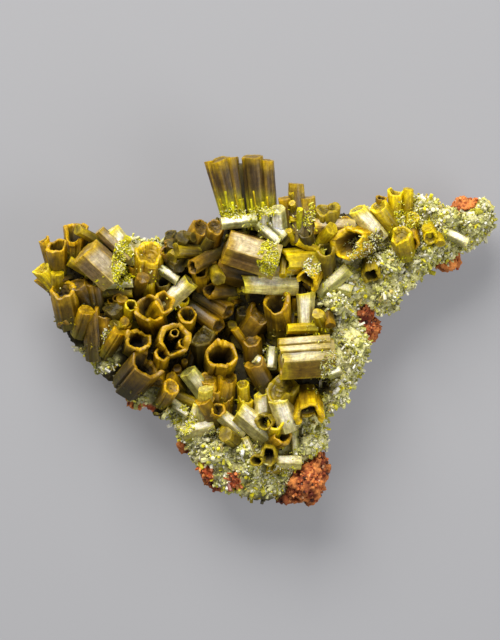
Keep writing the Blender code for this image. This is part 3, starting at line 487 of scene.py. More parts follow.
def grooves_of(crystal, habit, turns, grooves, rng):
    """How deep the grooves cut in at each turn, how many there are, and which rib each turn is on."""
    count = max(grooves if crystal.width > MEDIUM else grooves // 2, 1)
    ways = (np.arange(count) + rng.uniform(-0.35, 0.35, count)) * TURN / count
    apart = np.abs((turns[:, None] - ways[None, :] + math.pi) % TURN - math.pi)
    depths = rng.uniform(0.02, habit.deepest, count)
    groove = (depths * np.clip(1 - apart / rng.uniform(0.06, 0.16, count), 0, 1)).max(axis=1)
    return groove, count, np.searchsorted(np.sort(ways), turns) % count


def outline_of(crystal, broken, grooves, rng):
    """Uneven six-sided outline with grooves, and a rim broken into steps between them."""
    habit = SLAB if crystal.roll is None else BARREL
    around = 54 if crystal.width > LARGE else 36 if crystal.width > MEDIUM else 20
    turns = (np.arange(around) + 0.5) * TURN / around
    hexagon = math.cos(math.pi / 6) / np.cos((turns + math.pi / 6) % (math.pi / 3) - math.pi / 6)
    corners = rng.uniform(*habit.corners, 6)
    section = blend(hexagon, 0.95, habit.roundness)
    section = section * np.interp(turns, np.linspace(0, TURN, 7), np.append(corners, corners[0]))
    groove, count, rib = grooves_of(crystal, habit, turns, grooves, rng)
    top = blurred(rng.uniform(-0.32, 0.04, count)[rib], 2) * habit.steps
    top = top + rng.uniform(0.0, 0.22) * np.cos(turns - rng.uniform(0, 6.28))
    top = top + rng.uniform(-0.015, 0.015, around)
    wall = 1 + 0.25 * np.sin(turns + rng.uniform(0, 6))
    wall = WALL * (wall + 0.2 * np.sin(2 * turns + rng.uniform(0, 6)))
    if crystal.hollow and crystal.roll is not None:
        top = top - 0.3 * math.cos(math.radians(crystal.rise)) * smooth(np.cos(turns), 0.1, 0.9)
        way, depth = broken or (rng.uniform(0, 360), rng.uniform(0, 0.45))
        opening = smooth(np.cos(turns - math.radians(way)), 0.45, 0.85)
        top = top - depth * opening
        wall = wall * (1 - 0.3 * opening)
    shade = blurred(rng.uniform(0.6, 1.25, count)[rib], 1)
    reach = rng.uniform(0.3, 0.75, count)[rib] * (SLAB.reach if crystal.tone == "mauve" else habit.reach)
    corner = smooth(hexagon, 0.93, 1.0)
    # The side that takes its tone's painted sheen
    broad = smooth(np.cos(turns), 0.8, 0.9)
    return Outline(turns, section, groove, top, wall, shade, reach, corner, broad)


def side_rings(crystal, outline, radius, rng):
    """The rings up a crystal's side, from its foot."""
    rows = []
    steps = np.sort(rng.uniform(0.1, 0.95, 4))
    bulge = rng.uniform(0.0, 0.05)
    flare = rng.uniform(0.0, 0.06) if crystal.roll is not None else 0.0
    foot_fades = (0.3, 0.62) if crystal.tone == "mauve" else (0.12, 0.5)
    for u in np.linspace(0, 1, 13 if crystal.width > MEDIUM else 7):
        swell = blend(crystal.foot, 1, u) + bulge * math.sin(math.pi * u) + flare * smooth(u, 0.6, 1)
        swell -= 0.018 * np.searchsorted(steps, u) - 0.03
        scale = radius * swell * (outline.section - outline.groove * (1 - 0.4 * smooth(u, 0.8, 1.0)))
        along = u * crystal.length + outline.top * radius * smooth(u, 0.4, 1.0)
        rim = smooth(u, 1 - outline.reach, 1.0)
        rows.append((scale, along, rim, 0.0, 1 - smooth(u, *foot_fades), 0.0))
    return rows


def end_rings(outline, radius, top):
    """The rings over a flat end, from its edge inwards."""
    rows = []
    for share, drop in ((0.955, 0.03), (0.82, 0.04), (0.55, 0.03), (0.22, 0.045)):
        level = blend(top.mean(), top, share**2) + drop * radius
        scale = radius * share * (outline.section - outline.groove * 0.6 * share)
        rows.append((scale, level, 0.8 * share, 0.0, 0.0, 0.9))
    return rows, float(top.mean()) + 0.04 * radius


def hollow_rings(crystal, outline, radius, top, rng):
    """The rings over a rim and down the stepped hollow to its floor."""
    rows = []
    edge = radius * (outline.section - outline.groove * 0.6)
    low = crystal.length - crystal.hollow * crystal.length
    # How far the painted shade darkens the hollow: more in a deeper, narrower one
    dark = min(1.0, crystal.hollow * crystal.length / radius) ** 2
    for share, drop in ((0.12, 0.05), (0.35, 0.085), (0.65, 0.075), (0.88, 0.03)):
        rows.append((edge * (1 - outline.wall * share), top + drop * radius, 1.0, 0.0, 0.0, 0.4))
    rows.append((edge * (1 - outline.wall), top - 0.05 * radius, 0.9, 0.15 * dark, 0.0, 0.4))
    rounder = 0.45 * outline.section + 0.5
    for k in range(1, 9):
        d = k / 8
        stair = (math.floor(d * 3) + smooth(d * 3 % 1, 0.55, 1.0)) / 3
        wobble = 1 + 0.05 * np.sin(outline.turns * 5 + k) + rng.uniform(-0.025, 0.025, len(top))
        inner = blend(1 - outline.wall, FLOOR, stair)
        scale = radius * inner * wobble * blend(outline.section, rounder, d)
        rim = 0.7 * (1 - d) ** 2 + 0.5 * (1 - dark) * d
        rows.append((scale, blend(top, low, d), rim, dark * d**0.5, 0.0, 0.0))
    rows.append((radius * FLOOR * 0.5, low - 0.05 * radius, 0.5 * (1 - dark), dark, 0.0, 1.0))
    return rows, low


def rings_of(crystal, outline, radius, rng):
    """A crystal's rings from its foot to the middle of its end, and how far along that middle is.

    Each ring is its radii, its ways along, the shares of the rim's colour, the hollow's painted shade and
    the foot's colour, and how even its colour is.
    """
    rows = side_rings(crystal, outline, radius, rng)
    top = crystal.length + outline.top * radius
    if crystal.hollow:
        more, end = hollow_rings(crystal, outline, radius, top, rng)
    else:
        more, end = end_rings(outline, radius, top)
    return rows + more, end


def crystal_tints(crystal, shares):
    """The colours of a crystal's points, from their shares of each of its colours."""
    body, rim, base, broad = (linear(c or TONES[crystal.tone][0]) for c in TONES[crystal.tone][:4])
    rim_w, hollow_shade_w, foot_w, painted_sheen_w, shade, corner = (shares[:, k : k + 1] for k in range(6))
    rim_w = np.maximum(rim_w, corner * (0.75 if crystal.tone == "mauve" else 0.5) * (1 - hollow_shade_w))
    # Painted sheen: a flat crystal's broad side takes its tone's pale colour, and its ribs' shades are
    # evened
    painted_sheen_w = painted_sheen_w * (1 - rim_w * 0.75) * (1 - hollow_shade_w) * (crystal.roll is None)
    tint = blend(blend(body, broad, painted_sheen_w), rim, rim_w)
    # Painted shade: the colour falls towards near black down a hollow
    tint = blend(blend(tint, base, 0.8 * foot_w), linear(HOLLOW_SHADE), 0.94 * hollow_shade_w)
    return tint * (shade + (1 - shade) * 0.6 * painted_sheen_w)


def add_crystal(soup, crystal, broken, rng):
    """A ribbed crystal with a jagged rim round a stepped hollow, or with a flat, uneven end."""
    axis, across, beside = (np.array(v) for v in axes_of(crystal))
    foot = np.array(foot_of(crystal))
    rough, grooves = TONES[crystal.tone][4:]
    radius = crystal.width / 2 * FULLER
    outline = outline_of(crystal, broken, grooves, rng)
    around = len(outline.turns)
    rows, end = rings_of(crystal, outline, radius, rng)
    out = across * np.cos(outline.turns)[:, None] + beside * np.sin(outline.turns)[:, None]
    number = np.full(around, soup.count * 0.37 % 97)
    points, flows, shares = [], [], []
    for row in rows:
        scale, along, *weights, even = (np.broadcast_to(v, around) for v in row)
        points.append(foot + axis * along[:, None] + out * scale[:, None])
        flows.append(np.stack([outline.turns * radius, along + (radius - scale), number], 1))
        shade = outline.shade + (1 - outline.shade) * even
        shares.append(np.stack([*weights, outline.broad, shade, outline.corner * (1 - even)], 1))
    # The middle of a hollow's floor is all painted shade
    end_shares = [[0.0, 1.0, 0.0, 0.0, 1.0, 0.0] if crystal.hollow else [0.1, 0.0, 0.0, 0.0, 1.0, 0.0]]
    foot_shares = [[0.0, 0.0, 1.0, 0.0, 1.0, 0.0]]
    points = np.concatenate(points + [(foot + axis * end)[None], foot[None]])
    flows = np.concatenate(flows + [flows[-1][:1], flows[0][:1]])
    shares = np.concatenate(shares + [end_shares, foot_shares])
    first = np.arange(around)
    last = (len(rows) - 1) * around + first
    middles = np.repeat([len(rows) * around, len(rows) * around + 1], around)
    caps = np.stack([np.r_[last, np.roll(first, -1)], np.r_[np.roll(last, -1), first], middles], 1)
    tint = crystal_tints(crystal, shares) * rng.uniform(0.96 if crystal.roll is None else 0.85, 1.12)
    gloss = rough + 0.08 * shares[:, 2] + 0.4 * shares[:, 1]
    soup.add(points, [ring_faces(len(rows), around), caps], tint, flows, gloss)


def add_grains(soup, places, ways, widths, lengths, tints, rough, rng, sides=6):
    """Many small flat-ended prisms at once. places are their feet, and ways is where they point."""
    count = len(places)
    ways = ways / np.linalg.norm(ways, axis=1, keepdims=True)
    helper = np.where(np.abs(ways[:, 2:3]) < 0.9, [[0.0, 0.0, 1.0]], [[1.0, 0.0, 0.0]])
    across = np.cross(helper, ways)
    across /= np.linalg.norm(across, axis=1, keepdims=True)
    beside = np.cross(ways, across)
    turns = np.arange(sides)[None, :] * TURN / sides + rng.uniform(0, 6.28, count)[:, None]
    round_them = np.cos(turns)[..., None] * across[:, None] + np.sin(turns)[..., None] * beside[:, None]
    half = widths[:, None, None] / 2
    low = places[:, None] + round_them * half
    high = places[:, None] + ways[:, None] * lengths[:, None, None] + round_them * half * 0.92
    tip = places[:, None] + ways[:, None] * (lengths + widths * 0.06)[:, None, None]
    points = np.concatenate([low, high, tip], axis=1).reshape(-1, 3)
    size = 2 * sides + 1
    start = np.arange(count)[:, None] * size
    i, j = np.arange(sides)[None, :], (np.arange(sides)[None, :] + 1) % sides
    walls = np.stack([start + i, start + j, start + sides + j, start + sides + i], -1).reshape(-1, 4)
    ends = np.stack([start + sides + i, start + sides + j, start + 2 * sides + 0 * i], -1).reshape(-1, 3)
    # Painted shade at each grain's foot, and a little painted light at its end
    foot_shade_tip_light = np.where(np.arange(size) < sides, 0.8, 1.05)
    tints = np.repeat(tints[:, None], size, axis=1) * foot_shade_tip_light[None, :, None]
    flows = np.repeat(rng.uniform(0, 90, (count, 1, 3)), size, axis=1)
    soup.add(points, [walls, ends], tints.reshape(-1, 3), flows.reshape(-1, 3), rough)


def pick(palette, count, rng):
    """Colours drawn from a palette of (sRGB colour, weight), each a little lighter or darker."""
    weights = np.array([w for _, w in palette], float)
    colours = np.array([linear(c) for c, _ in palette])
    chosen = colours[rng.choice(len(palette), count, p=weights / weights.sum())]
    return chosen * rng.uniform(0.72, 1.2, (count, 1))


# The grains' colours in sRGB, each with its weight
PALE = (
    ((224, 218, 178), 4), ((208, 204, 140), 5), ((192, 190, 98), 4), ((240, 236, 218), 3),
    ((202, 194, 60), 3), ((168, 166, 92), 2.5), ((122, 120, 52), 1), ((194, 174, 96), 1),
    ((214, 202, 36), 1.5),
)
BRIGHT = (
    ((222, 212, 10), 5), ((196, 188, 12), 3), ((228, 222, 104), 3), ((174, 164, 12), 2),
    ((236, 230, 176), 2),
)
DULL = (
    ((92, 82, 8), 4), ((62, 55, 6), 3), ((138, 120, 8), 3), ((38, 33, 5), 2), ((164, 146, 22), 1),
)
RUST = (
    ((212, 118, 54), 5), ((226, 146, 82), 3), ((188, 92, 42), 4), ((126, 56, 28), 2.5),
    ((76, 34, 20), 1.5), ((228, 176, 132), 1), ((236, 214, 184), 0.5),
)
# Between the druse spots the crust is dark: its own dull olive, and painted shade in the crystals' gaps
DARK_CRUST_AND_GAP_SHADE, PALE_CRUST, RUSTY_CRUST = (46, 38, 6), (196, 190, 130), (176, 82, 40)
DARK_ROCK, LIGHT_ROCK, LOW_ROCK = (132, 54, 26), (220, 134, 66), (160, 96, 54)

# Where the pale druse shows: middle x and y, half widths
PALE_SPOTS = (
    (19.0, 11.0, 9.0, 5.5), (12.5, 6.0, 5.0, 4.5), (10.8, -1.5, 3.0, 7.0), (7.6, -8.5, 2.6, 4.0),
    (0.0, -12.2, 7.0, 3.2), (-6.4, -7.8, 2.4, 3.0), (-10.4, -4.6, 3.4, 1.6), (-15.6, -1.4, 2.6, 1.6),
    (-11.0, 10.4, 2.6, 1.1), (8.6, 4.6, 2.4, 1.4),
)

# Where gossan shows through the druse
RUST_SPOTS = ((-4.5, -13.1, 0.9, 1.4), (-1.6, -13.6, 0.7, 0.9), (-10.6, -6.4, 1.2, 0.5))

# Where the druse and the rock are drawn sideways: middle x and y, half widths, and how far in x and y
DRAWN = (
    (-1.5, -15.2, 6.0, 3.0, 0.0, -0.5), (8.4, -12.3, 2.6, 3.0, -0.55, 0.1),
    (-10.6, -6.2, 2.8, 2.0, -0.4, -0.85), (-17.4, 0.0, 1.8, 2.4, -0.5, -0.4),
    (-14.8, -2.8, 2.2, 1.8, -0.35, -0.5), (17.0, 6.8, 2.4, 2.0, 0.2, -0.7),
    (20.6, 7.8, 2.6, 1.8, 0.1, -0.5), (20.8, 15.0, 2.8, 2.0, 0.0, -0.6),
)

# Grains that grew over crystals: middle x and y, half widths, how many, palette
PATCHES = (
    (1.8, 8.7, 1.1, 1.7, 1000, BRIGHT), (-12.7, 8.0, 1.1, 2.5, 1300, BRIGHT),
    (-1.7, 13.2, 1.2, 0.6, 200, BRIGHT), (1.2, 13.3, 1.3, 0.6, 240, BRIGHT),
    (6.2, 7.8, 0.9, 1.0, 260, PALE), (-14.0, 0.8, 0.8, 1.2, 260, PALE), (-3.2, -9.6, 1.6, 1.4, 460, PALE),
    (5.6, 13.0, 1.0, 1.2, 260, BRIGHT), (16.5, 13.2, 2.2, 1.6, 420, BRIGHT),
    (-6.5, -7.6, 1.2, 1.4, 420, BRIGHT), (11.8, 9.6, 2.6, 1.4, 500, PALE), (8.2, -2.4, 1.2, 1.8, 300, PALE),
    (2.4, -13.0, 2.6, 1.2, 320, PALE), (5.4, -15.7, 0.9, 0.4, 60, PALE),
)

# Small crystals that lie over the large ones: tone, middle x and y, heading, length, width
LAID = (
    # The silver ones are there for the painted glints on their broad sides
    ("silver", 0.9, -1.6, 145, 1.1, 1.1), ("silver", 8.5, -2.7, 20, 1.4, 1.1),
    ("silver", 7.1, -3.9, 90, 1.2, 0.6), ("silver", -13.8, 0.4, 120, 2.2, 1.4),
    ("silver", -7.0, -6.6, -32, 1.8, 0.7), ("silver", 13.1, 8.6, -40, 1.7, 0.6),
    ("yellow", -2.8, 13.9, 106, 1.5, 0.25), ("lime", -2.3, 14.3, 100, 2.1, 0.3),
    ("lime", -1.7, 13.7, 97, 1.3, 0.3), ("yellow", -1.3, 14.1, 102, 1.9, 0.2),
    ("lime", 0.2, 13.8, 96, 1.6, 0.25), ("yellow", 0.5, 14.3, 99, 2.2, 0.2),
    ("lime", 1.3, 13.7, 92, 1.2, 0.3), ("yellow", 1.8, 14.0, 97, 1.7, 0.2),
)

# Where small crystals fill the room between the large ones: middle x and y, half widths, how many are
# tried, and their tones
FILLS = (
    (-4.0, 2.0, 10.0, 7.0, 1500, ("olive", "dark", "brown", "amber", "brown")),
    (-15.0, 5.0, 5.0, 6.0, 480, ("olive", "amber", "brown", "amber")),
    (-8.0, 9.5, 5.0, 2.0, 280, ("dark", "olive", "brown")),
    (3.0, 8.0, 6.0, 5.0, 480, ("olive", "amber", "brown", "yellow")),
    (11.0, 11.5, 6.5, 3.4, 320, ("yellow", "olive", "amber")),
    (6.0, -1.0, 4.0, 6.0, 300, ("olive", "amber", "yellow", "brown")),
    (0.0, -6.5, 6.0, 3.5, 360, ("yellow", "olive", "amber", "cream")),
)

# Hollow crystals with one side broken down: which way it faces round the crystal, and how far down it goes
BROKEN = {
    ("basin_ring_west", 0): (200, 1.1),
    ("gold_arch_barrel", 0): (180, 1.2),
    ("east_basin_barrels", 3): (180, 0.9),
    ("basin_south_west", 0): (150, 0.8),
    ("basin_ring_west", 1): (40, 0.5),
    ("north_east_barrels", 0): (60, 0.5),
}

# The druse's prisms: widths, lengths as shares of the widths, how many to a square millimetre, and sides
PRISMS = ((0.2, 0.42), (1.1, 2.1), 3.5, 6)
FINE_PRISMS = ((0.1, 0.22), (1.3, 3.2), 18.0, 5)
CRUMBS_PER_MM2 = 4.5


def random_ways(count, rng):
    ways = rng.normal(size=(count, 3))
    return ways / np.linalg.norm(ways, axis=1, keepdims=True)


def in_ellipse(region, turn, share):
    """A place in the ellipse that a region's first four numbers give."""
    mid_x, mid_y, half_x, half_y = region[:4]
    return mid_x + half_x * share * np.cos(turn), mid_y + half_y * share * np.sin(turn)


def surface_samples(node_name, per_mm2, rng):
    """Random places on a solid's faces, with the faces' outward normals."""
    data = frame["nodes"][node_name].data
    data.calc_loop_triangles()
    points = read(data.vertices, "co").astype(float) / MM
    corners = read(data.loop_triangles, "vertices", np.int32)
    a, b, c = (points[corners[:, k]] for k in range(3))
    cross = np.cross(b - a, c - a)
    areas = np.linalg.norm(cross, axis=1) / 2
    chosen = rng.choice(len(areas), int(areas.sum() * per_mm2), p=areas / areas.sum())
    r, s = np.sqrt(rng.random(len(chosen)))[:, None], rng.random(len(chosen))[:, None]
    places = a[chosen] * (1 - r) + b[chosen] * r * (1 - s) + c[chosen] * r * s
    return drawn(places), cross[chosen] / (2 * areas[chosen])[:, None]


def share_of(spots, x, y):
    """How far a place is within some spots: 1 well inside and 0 outside."""
    share = np.zeros(np.shape(x))
    for mid_x, mid_y, half_x, half_y in spots:
        near = 1 - np.sqrt(((x - mid_x) / half_x) ** 2 + ((y - mid_y) / half_y) ** 2)
        share = np.maximum(share, smooth(near, -0.12, 0.2))
    return share


def drawn(places):
    """Places moved a little sideways where the specimen's outline asks for it."""
    moved = places.copy()
    for mid_x, mid_y, half_x, half_y, by_x, by_y in DRAWN:
        away = ((places[:, 0] - mid_x) / half_x) ** 2 + ((places[:, 1] - mid_y) / half_y) ** 2
        moved[:, :2] += (1 - smooth(away, 0.1, 1.0))[:, None] * (by_x, by_y)
    return moved


def set_inputs(tree, made, values):
    """Sets a shader node's sockets, by name or number, to values or to other sockets."""
    for name, value in values.items():
        if isinstance(value, bpy.types.NodeSocket):
            tree.links.new(value, made.inputs[name])
        else:
            made.inputs[name].default_value = value


def node(tree, kind, values):
    made = tree.nodes.new(kind)
    set_inputs(tree, made, values)
    return made


def math_node(tree, operation, first, second):
    made = node(tree, "ShaderNodeMath", {0: first, 1: second})
    made.operation = operation
    return made.outputs[0]


def attribute(tree, name, output):
    made = tree.nodes.new("ShaderNodeAttribute")
    made.attribute_name = name
    return made.outputs[output]


def cloud(tree, vector, scale, detail, roughness):
    """Fractal noise. scale is one number, or one for each axis."""
    if isinstance(scale, tuple):
        vector = node(tree, "ShaderNodeMapping", {"Vector": vector, "Scale": scale}).outputs[0]
        scale = 1.0
    values = {"Vector": vector, "Scale": scale, "Detail": detail, "Roughness": roughness}
    return node(tree, "ShaderNodeTexNoise", values).outputs["Fac"]


def ramp(tree, value, *stops):
    """A colour ramp: stops are (place, grey or colour)."""
    made = node(tree, "ShaderNodeValToRGB", {"Fac": value})
    elements = made.color_ramp.elements
    for element, (place, colour) in zip(elements, stops):
        element.position = place
        element.color = (colour,) * 3 + (1,) if isinstance(colour, float) else (*colour, 1)
    return made.outputs[0]


def shaded(tree, colour, value, *stops):
    """A colour times a ramp over a value."""
    made = tree.nodes.new("ShaderNodeMix")
    made.data_type = "RGBA"
    made.blend_type = "MULTIPLY"
    set_inputs(tree, made, {0: 1.0, 6: colour, 7: ramp(tree, value, *stops)})
    return made.outputs[2]


def bumped(tree, strength, depth, height):
    values = {"Strength": strength, "Distance": depth * MM, "Height": height}
    return node(tree, "ShaderNodeBump", values).outputs[0]


def new_material(name):
    """A material, its node tree, its shader, and the places that its textures are laid by."""
    material = bpy.data.materials.new(name)
    material.use_nodes = True
    tree = material.node_tree
    place = tree.nodes.new("ShaderNodeTexCoord").outputs["Object"]
    return material, tree, tree.nodes["Principled BSDF"], place


def crystal_material():
    """Striated, resinous crystal: fine lines along each crystal, cloudy zones, and some light let in."""
    material, tree, shader, place = new_material("pyromorphite_crystal")
    flow = attribute(tree, "flow", "Vector")
    fine = cloud(tree, flow, (9.0, 0.6, 1.0), 6.0, 0.65)
    broad = cloud(tree, flow, (2.6, 1.1, 1.0), 4.0, 0.6)
    bands = cloud(tree, flow, (0.4, 3.4, 1.0), 3.0, 0.6)
    mottle = cloud(tree, place, 1700.0, 6.0, 0.68)
    colour = shaded(tree, attribute(tree, "tint", "Color"), fine, (0.3, 0.68), (0.7, 1.25))
    colour = shaded(tree, colour, broad, (0.32, (0.62, 0.54, 0.4)), (0.66, (1.2, 1.2, 1.0)))
    colour = shaded(tree, colour, mottle, (0.35, 0.8), (0.6, 1.12))
    colour = shaded(tree, colour, bands, (0.4, 0.86), (0.6, 1.1))
    duller = ramp(tree, broad, (0.35, 0.0), (0.75, 0.2))
    height = math_node(tree, "ADD", fine, math_node(tree, "MULTIPLY", mottle, 0.8))
    set_inputs(tree, shader, {
        "Base Color": colour,
        "Roughness": math_node(tree, "ADD", attribute(tree, "gloss", "Fac"), duller),
        "Normal": bumped(tree, 0.45, 0.05, height),
        "IOR": CRYSTAL_IOR,
        "Specular IOR Level": SPECULAR,
        "Subsurface Weight": 0.4,
        "Subsurface Radius": (1.0, 0.8, 0.1),
        "Subsurface Scale": 0.5 * MM,
    })
    return material


def grain_material():
    """The druse's small prisms: each its own colour, glossy, with a little cloudiness."""
    material, tree, shader, place = new_material("druse_grain")
    mottle = cloud(tree, place, 3000.0, 5.0, 0.65)
    set_inputs(tree, shader, {
        "Base Color": shaded(tree, attribute(tree, "tint", "Color"), mottle, (0.32, 0.55), (0.66, 1.3)),
        "Roughness": attribute(tree, "gloss", "Fac"),
        "Normal": bumped(tree, 0.5, 0.04, mottle),
        "IOR": CRYSTAL_IOR,
        "Specular IOR Level": SPECULAR,
        "Subsurface Weight": 0.15,
        "Subsurface Radius": (1.0, 0.9, 0.4),
        "Subsurface Scale": 0.4 * MM,
    })
    return material


def rock_material():
    """Earthy, crumbly rock."""
    material, tree, shader, place = new_material("gossan_rock")
    crumbly = cloud(tree, place, 2600.0, 7.0, 0.7)
    broad = cloud(tree, place, 420.0, 4.0, 0.6)
    colour = shaded(tree, attribute(tree, "tint", "Color"), crumbly, (0.3, 0.45), (0.7, 1.4))
    set_inputs(tree, shader, {
        "Base Color": shaded(tree, colour, broad, (0.35, (0.6, 0.5, 0.45)), (0.62, (1.15, 1.2, 1.15))),
        "Normal": bumped(tree, 0.8, 0.18, crumbly),
        "Roughness": 0.9,
    })
    return material


def remeshed(name, node_name, voxel):
    """A copy of a solid's mesh in small, even faces."""
    source = placed(name + "_source", frame["nodes"][node_name].data.copy())
    remesh = source.modifiers.new("remesh", "REMESH")
    remesh.mode = "VOXEL"
    remesh.voxel_size = voxel * MM
    bpy.context.view_layer.update()
    evaluated = source.evaluated_get(bpy.context.evaluated_depsgraph_get())
    data = bpy.data.meshes.new_from_object(evaluated)
    bpy.data.objects.remove(source)
    data.name = name
    return data


def rough_copy(name, node_name, voxel, swell, tint_of, material):
    """A finely rough mesh in place of a faceted solid. tint_of gives its points' colours."""
    data = remeshed(name, node_name, voxel)
    places = read(data.vertices, "co").astype(float) / MM
    normals = read(data.vertices, "normal")
    waves = []
    for place in places:
        here = Vector(place)
        waves.append((noise.fractal(here * 1.2, 0.8, 2.0, 3), noise.fractal(here * 3.8, 0.7, 2.1, 2)))
    waves = np.array(waves)
    move = (waves @ [0.55, 0.45]) * swell * np.clip(places[:, 2] / 0.5, 0, 1)
    places = drawn(places + normals * move[:, None])
    places[:, 2] = np.maximum(places[:, 2], 0)
    data.vertices.foreach_set("co", (places * MM).astype(np.float32).ravel())
    data.update()
    paint(data, tint_of(places, waves), np.full(len(places), 0.8, np.float32))
    data.materials.clear()
    data.materials.append(material)
    data.polygons.foreach_set("use_smooth", np.ones(len(data.polygons), bool))
    made = placed(name, data)
    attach(made, "root")
    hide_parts(node_name)
    return made


def crust_tint(places, waves):
    """Pale where the druse shows, rusty where the gossan does, and dark in between, partly as painted shade.
    """
    pale, rust = (share_of(s, places[:, 0], places[:, 1])[:, None] for s in (PALE_SPOTS, RUST_SPOTS))
    tint = blend(linear(DARK_CRUST_AND_GAP_SHADE), linear(PALE_CRUST), pale)
    return blend(tint, linear(RUSTY_CRUST), rust) * (1 + 0.6 * waves[:, :1])


def rock_tint(places, waves):
    """Cloudy between two rusts, painted shadow under the druse of the foot, and even towards the flat back.
    """
    x, y, z = (places[:, k : k + 1] for k in range(3))
    share = smooth(waves[:, :1] + 0.5 * waves[:, 1:], -0.35, 0.35)
    # Painted shadow: the lighter rust is held back under the druse of the foot
    share = share * (1 - 0.7 * smooth(4.8 - x, 0, 1.5) * smooth(-y, 13.6, 14.8))
    tint = blend(linear(DARK_ROCK), linear(LIGHT_ROCK), share)
    return blend(tint, linear(LOW_ROCK), smooth(-z, -2.6, -0.4))


def make_crystals(rng):
    """A soup for each group of crystals that grew together."""
    soups = {}
    for name, cluster in CLUSTERS.items():
        soups[name] = Soup()
        for index, crystal in enumerate(cluster):
            add_crystal(soups[name], crystal, BROKEN.get((name, index)), rng)
    return soups


def surface_tree(soups, *objects):
    """The surfaces of some soups and objects, to find places on, in millimetres."""
    points, faces, start = [], [], 0
    for soup in soups:
        points += np.concatenate(soup.points).tolist()
        faces += [tuple(face) for block in soup.faces for face in (block + start).tolist()]
        start += soup.count
    for made in objects:
        points += [v.co / MM for v in made.data.vertices]
        faces += [tuple(v + start for v in face.vertices) for face in made.data.polygons]
        start += len(made.data.vertices)
    return BVHTree.FromPolygons(points, faces)


def small_crystal(region, rng):
    """A random crystal for a region of FILLS, and its foot's x and y."""
    turn, share = rng.uniform(0, TURN), math.sqrt(rng.random())
    x, y = in_ellipse(region, turn, share)
    heading = rng.uniform(55, 135) if rng.random() < 0.6 else rng.uniform(0, 360)
    rise = rng.uniform(12, 60)
    level = math.cos(math.radians(rise))
    width = rng.uniform(0.5, 1.7)
    length = width * rng.uniform(1.2, 2.0) + ROOT
    hollow = 0.35 if width > 1.0 and rng.random() < 0.15 else 0.0
    tone = region[-1][rng.integers(len(region[-1]))]
    lift = 0.2 + 0.8 * level**2
    way_x, way_y, _ = way_of(heading)
    tip_x, tip_y = x + length * level * way_x, y + length * level * way_y
    roll = rng.uniform(0, 60)
    return Crystal(tone, tip_x, tip_y, heading, rise, length, width, 0.95, hollow, roll, lift), x, y


def has_room(made, x, y, tree, tall):
    """Whether a small crystal stands in bare crust, off the pale druse and clear of the large ones."""
    way_x, way_y, _ = way_of(made.heading)
    place = tree.ray_cast(Vector((x, y, SKY)), DOWN)[0]
    under = tree.ray_cast(Vector((made.x + 0.6 * way_x, made.y + 0.6 * way_y, SKY)), DOWN)[0]
    if place is None or under is None or place.z > bed(x, y) + 0.45:
        return False
    if share_of(PALE_SPOTS, made.x, made.y) > 0.25:
        return False
    axis, foot = axes_of(made)[0], foot_of(made)
    if tall.find_nearest(foot + axis * made.length, made.width * 0.32)[0] is not None:
        return False
    return tree.ray_cast(foot + axis * (ROOT + 0.2), axis, made.length - ROOT)[0] is None


def fill_crystals(soup, tree, tall, rng):
    """Small crystals in the crust, wherever the large ones leave room for them."""
    for region in FILLS:
        for _ in range(region[4]):
            made, x, y = small_crystal(region, rng)
            if has_room(made, x, y, tree, tall):
                add_crystal(soup, made, None, rng)


def lay_crystals(soup, tree, rng):
    """The small crystals that lie over the large ones."""
    for tone, x, y, heading, length, width in LAID:
        way = Vector(way_of(heading)[:2]) * length / 2
        place = tree.ray_cast(Vector((x, y, SKY)), DOWN)[0]
        lift = place.z + ROOT - 0.3 * width - bed(x - way.x, y - way.y)
        made = Crystal(tone, x + way.x, y + way.y, heading, 7, length, width, 1.0, 0.0, None, lift)
        add_crystal(soup, made, None, rng)


def add_foot_grains(soup, tree, cluster, rng):
    """Small needles that sit on and round the feet."""
    for crystal in cluster:
        axis, across, beside = (np.array(v) for v in axes_of(crystal))
        out_of_crust = min((ROOT + 0.1) / max(0.35, axis[2]), 0.3 * crystal.length)
        foot = np.array(foot_of(crystal)) + axis * out_of_crust
        count = int(4 + crystal.width * 8)
        turns = rng.uniform(0, TURN, count)
        out = across * np.cos(turns)[:, None] + beside * np.sin(turns)[:, None]
        reach = crystal.width * crystal.foot / 2 * rng.uniform(0.9, 1.4, count)
        wished = foot + out * reach[:, None] + axis * rng.uniform(-0.8, 0.25, count)[:, None]
        found = [tree.find_nearest(Vector(p)) for p in wished]
        places, normals = (np.array([f[k] for f in found]) for k in range(2))
        ways = normals * 0.7 + axis * 0.5 + random_ways(count, rng) * 0.8
        palette = DULL if crystal.tone in ("dark", "brown", "olive", "amber") else BRIGHT
        wide = rng.uniform(0.06, 0.16, count)
        tints = pick(palette, count, rng)
        long = wide * rng.uniform(1.2, 3.4, count)
        add_grains(soup, places - normals * 0.05, ways, wide, long, tints, 0.3, rng)


def cast_grains(soup, tree, patch, rng):
    """Grains on whatever a line straight down meets, within an ellipse."""
    count, palette = patch[4:]
    xs, ys = in_ellipse(patch, rng.uniform(0, TURN, count), np.sqrt(rng.random(count)))
    places, ways = [], []
    for x, y in zip(xs, ys):
        place, normal, _, _ = tree.ray_cast(Vector((x, y, SKY)), DOWN)
        if place is not None and place.z > 2.0 and noise.noise(Vector((x * 1.3, y * 1.3, patch[0]))) > -0.25:
            places.append(place)
            ways.append(normal)
    if not places:
        return
    count = len(places)
    ways = np.array(ways) * 0.5 + random_ways(count, rng)
    wide = rng.uniform(0.06, 0.14, count)
    long = wide * rng.uniform(1.0, 3.4, count)
    tints = pick(palette, count, rng)
    add_grains(soup, np.array(places) - ways * 0.06, ways, wide, long, tints, 0.3, rng, 5)


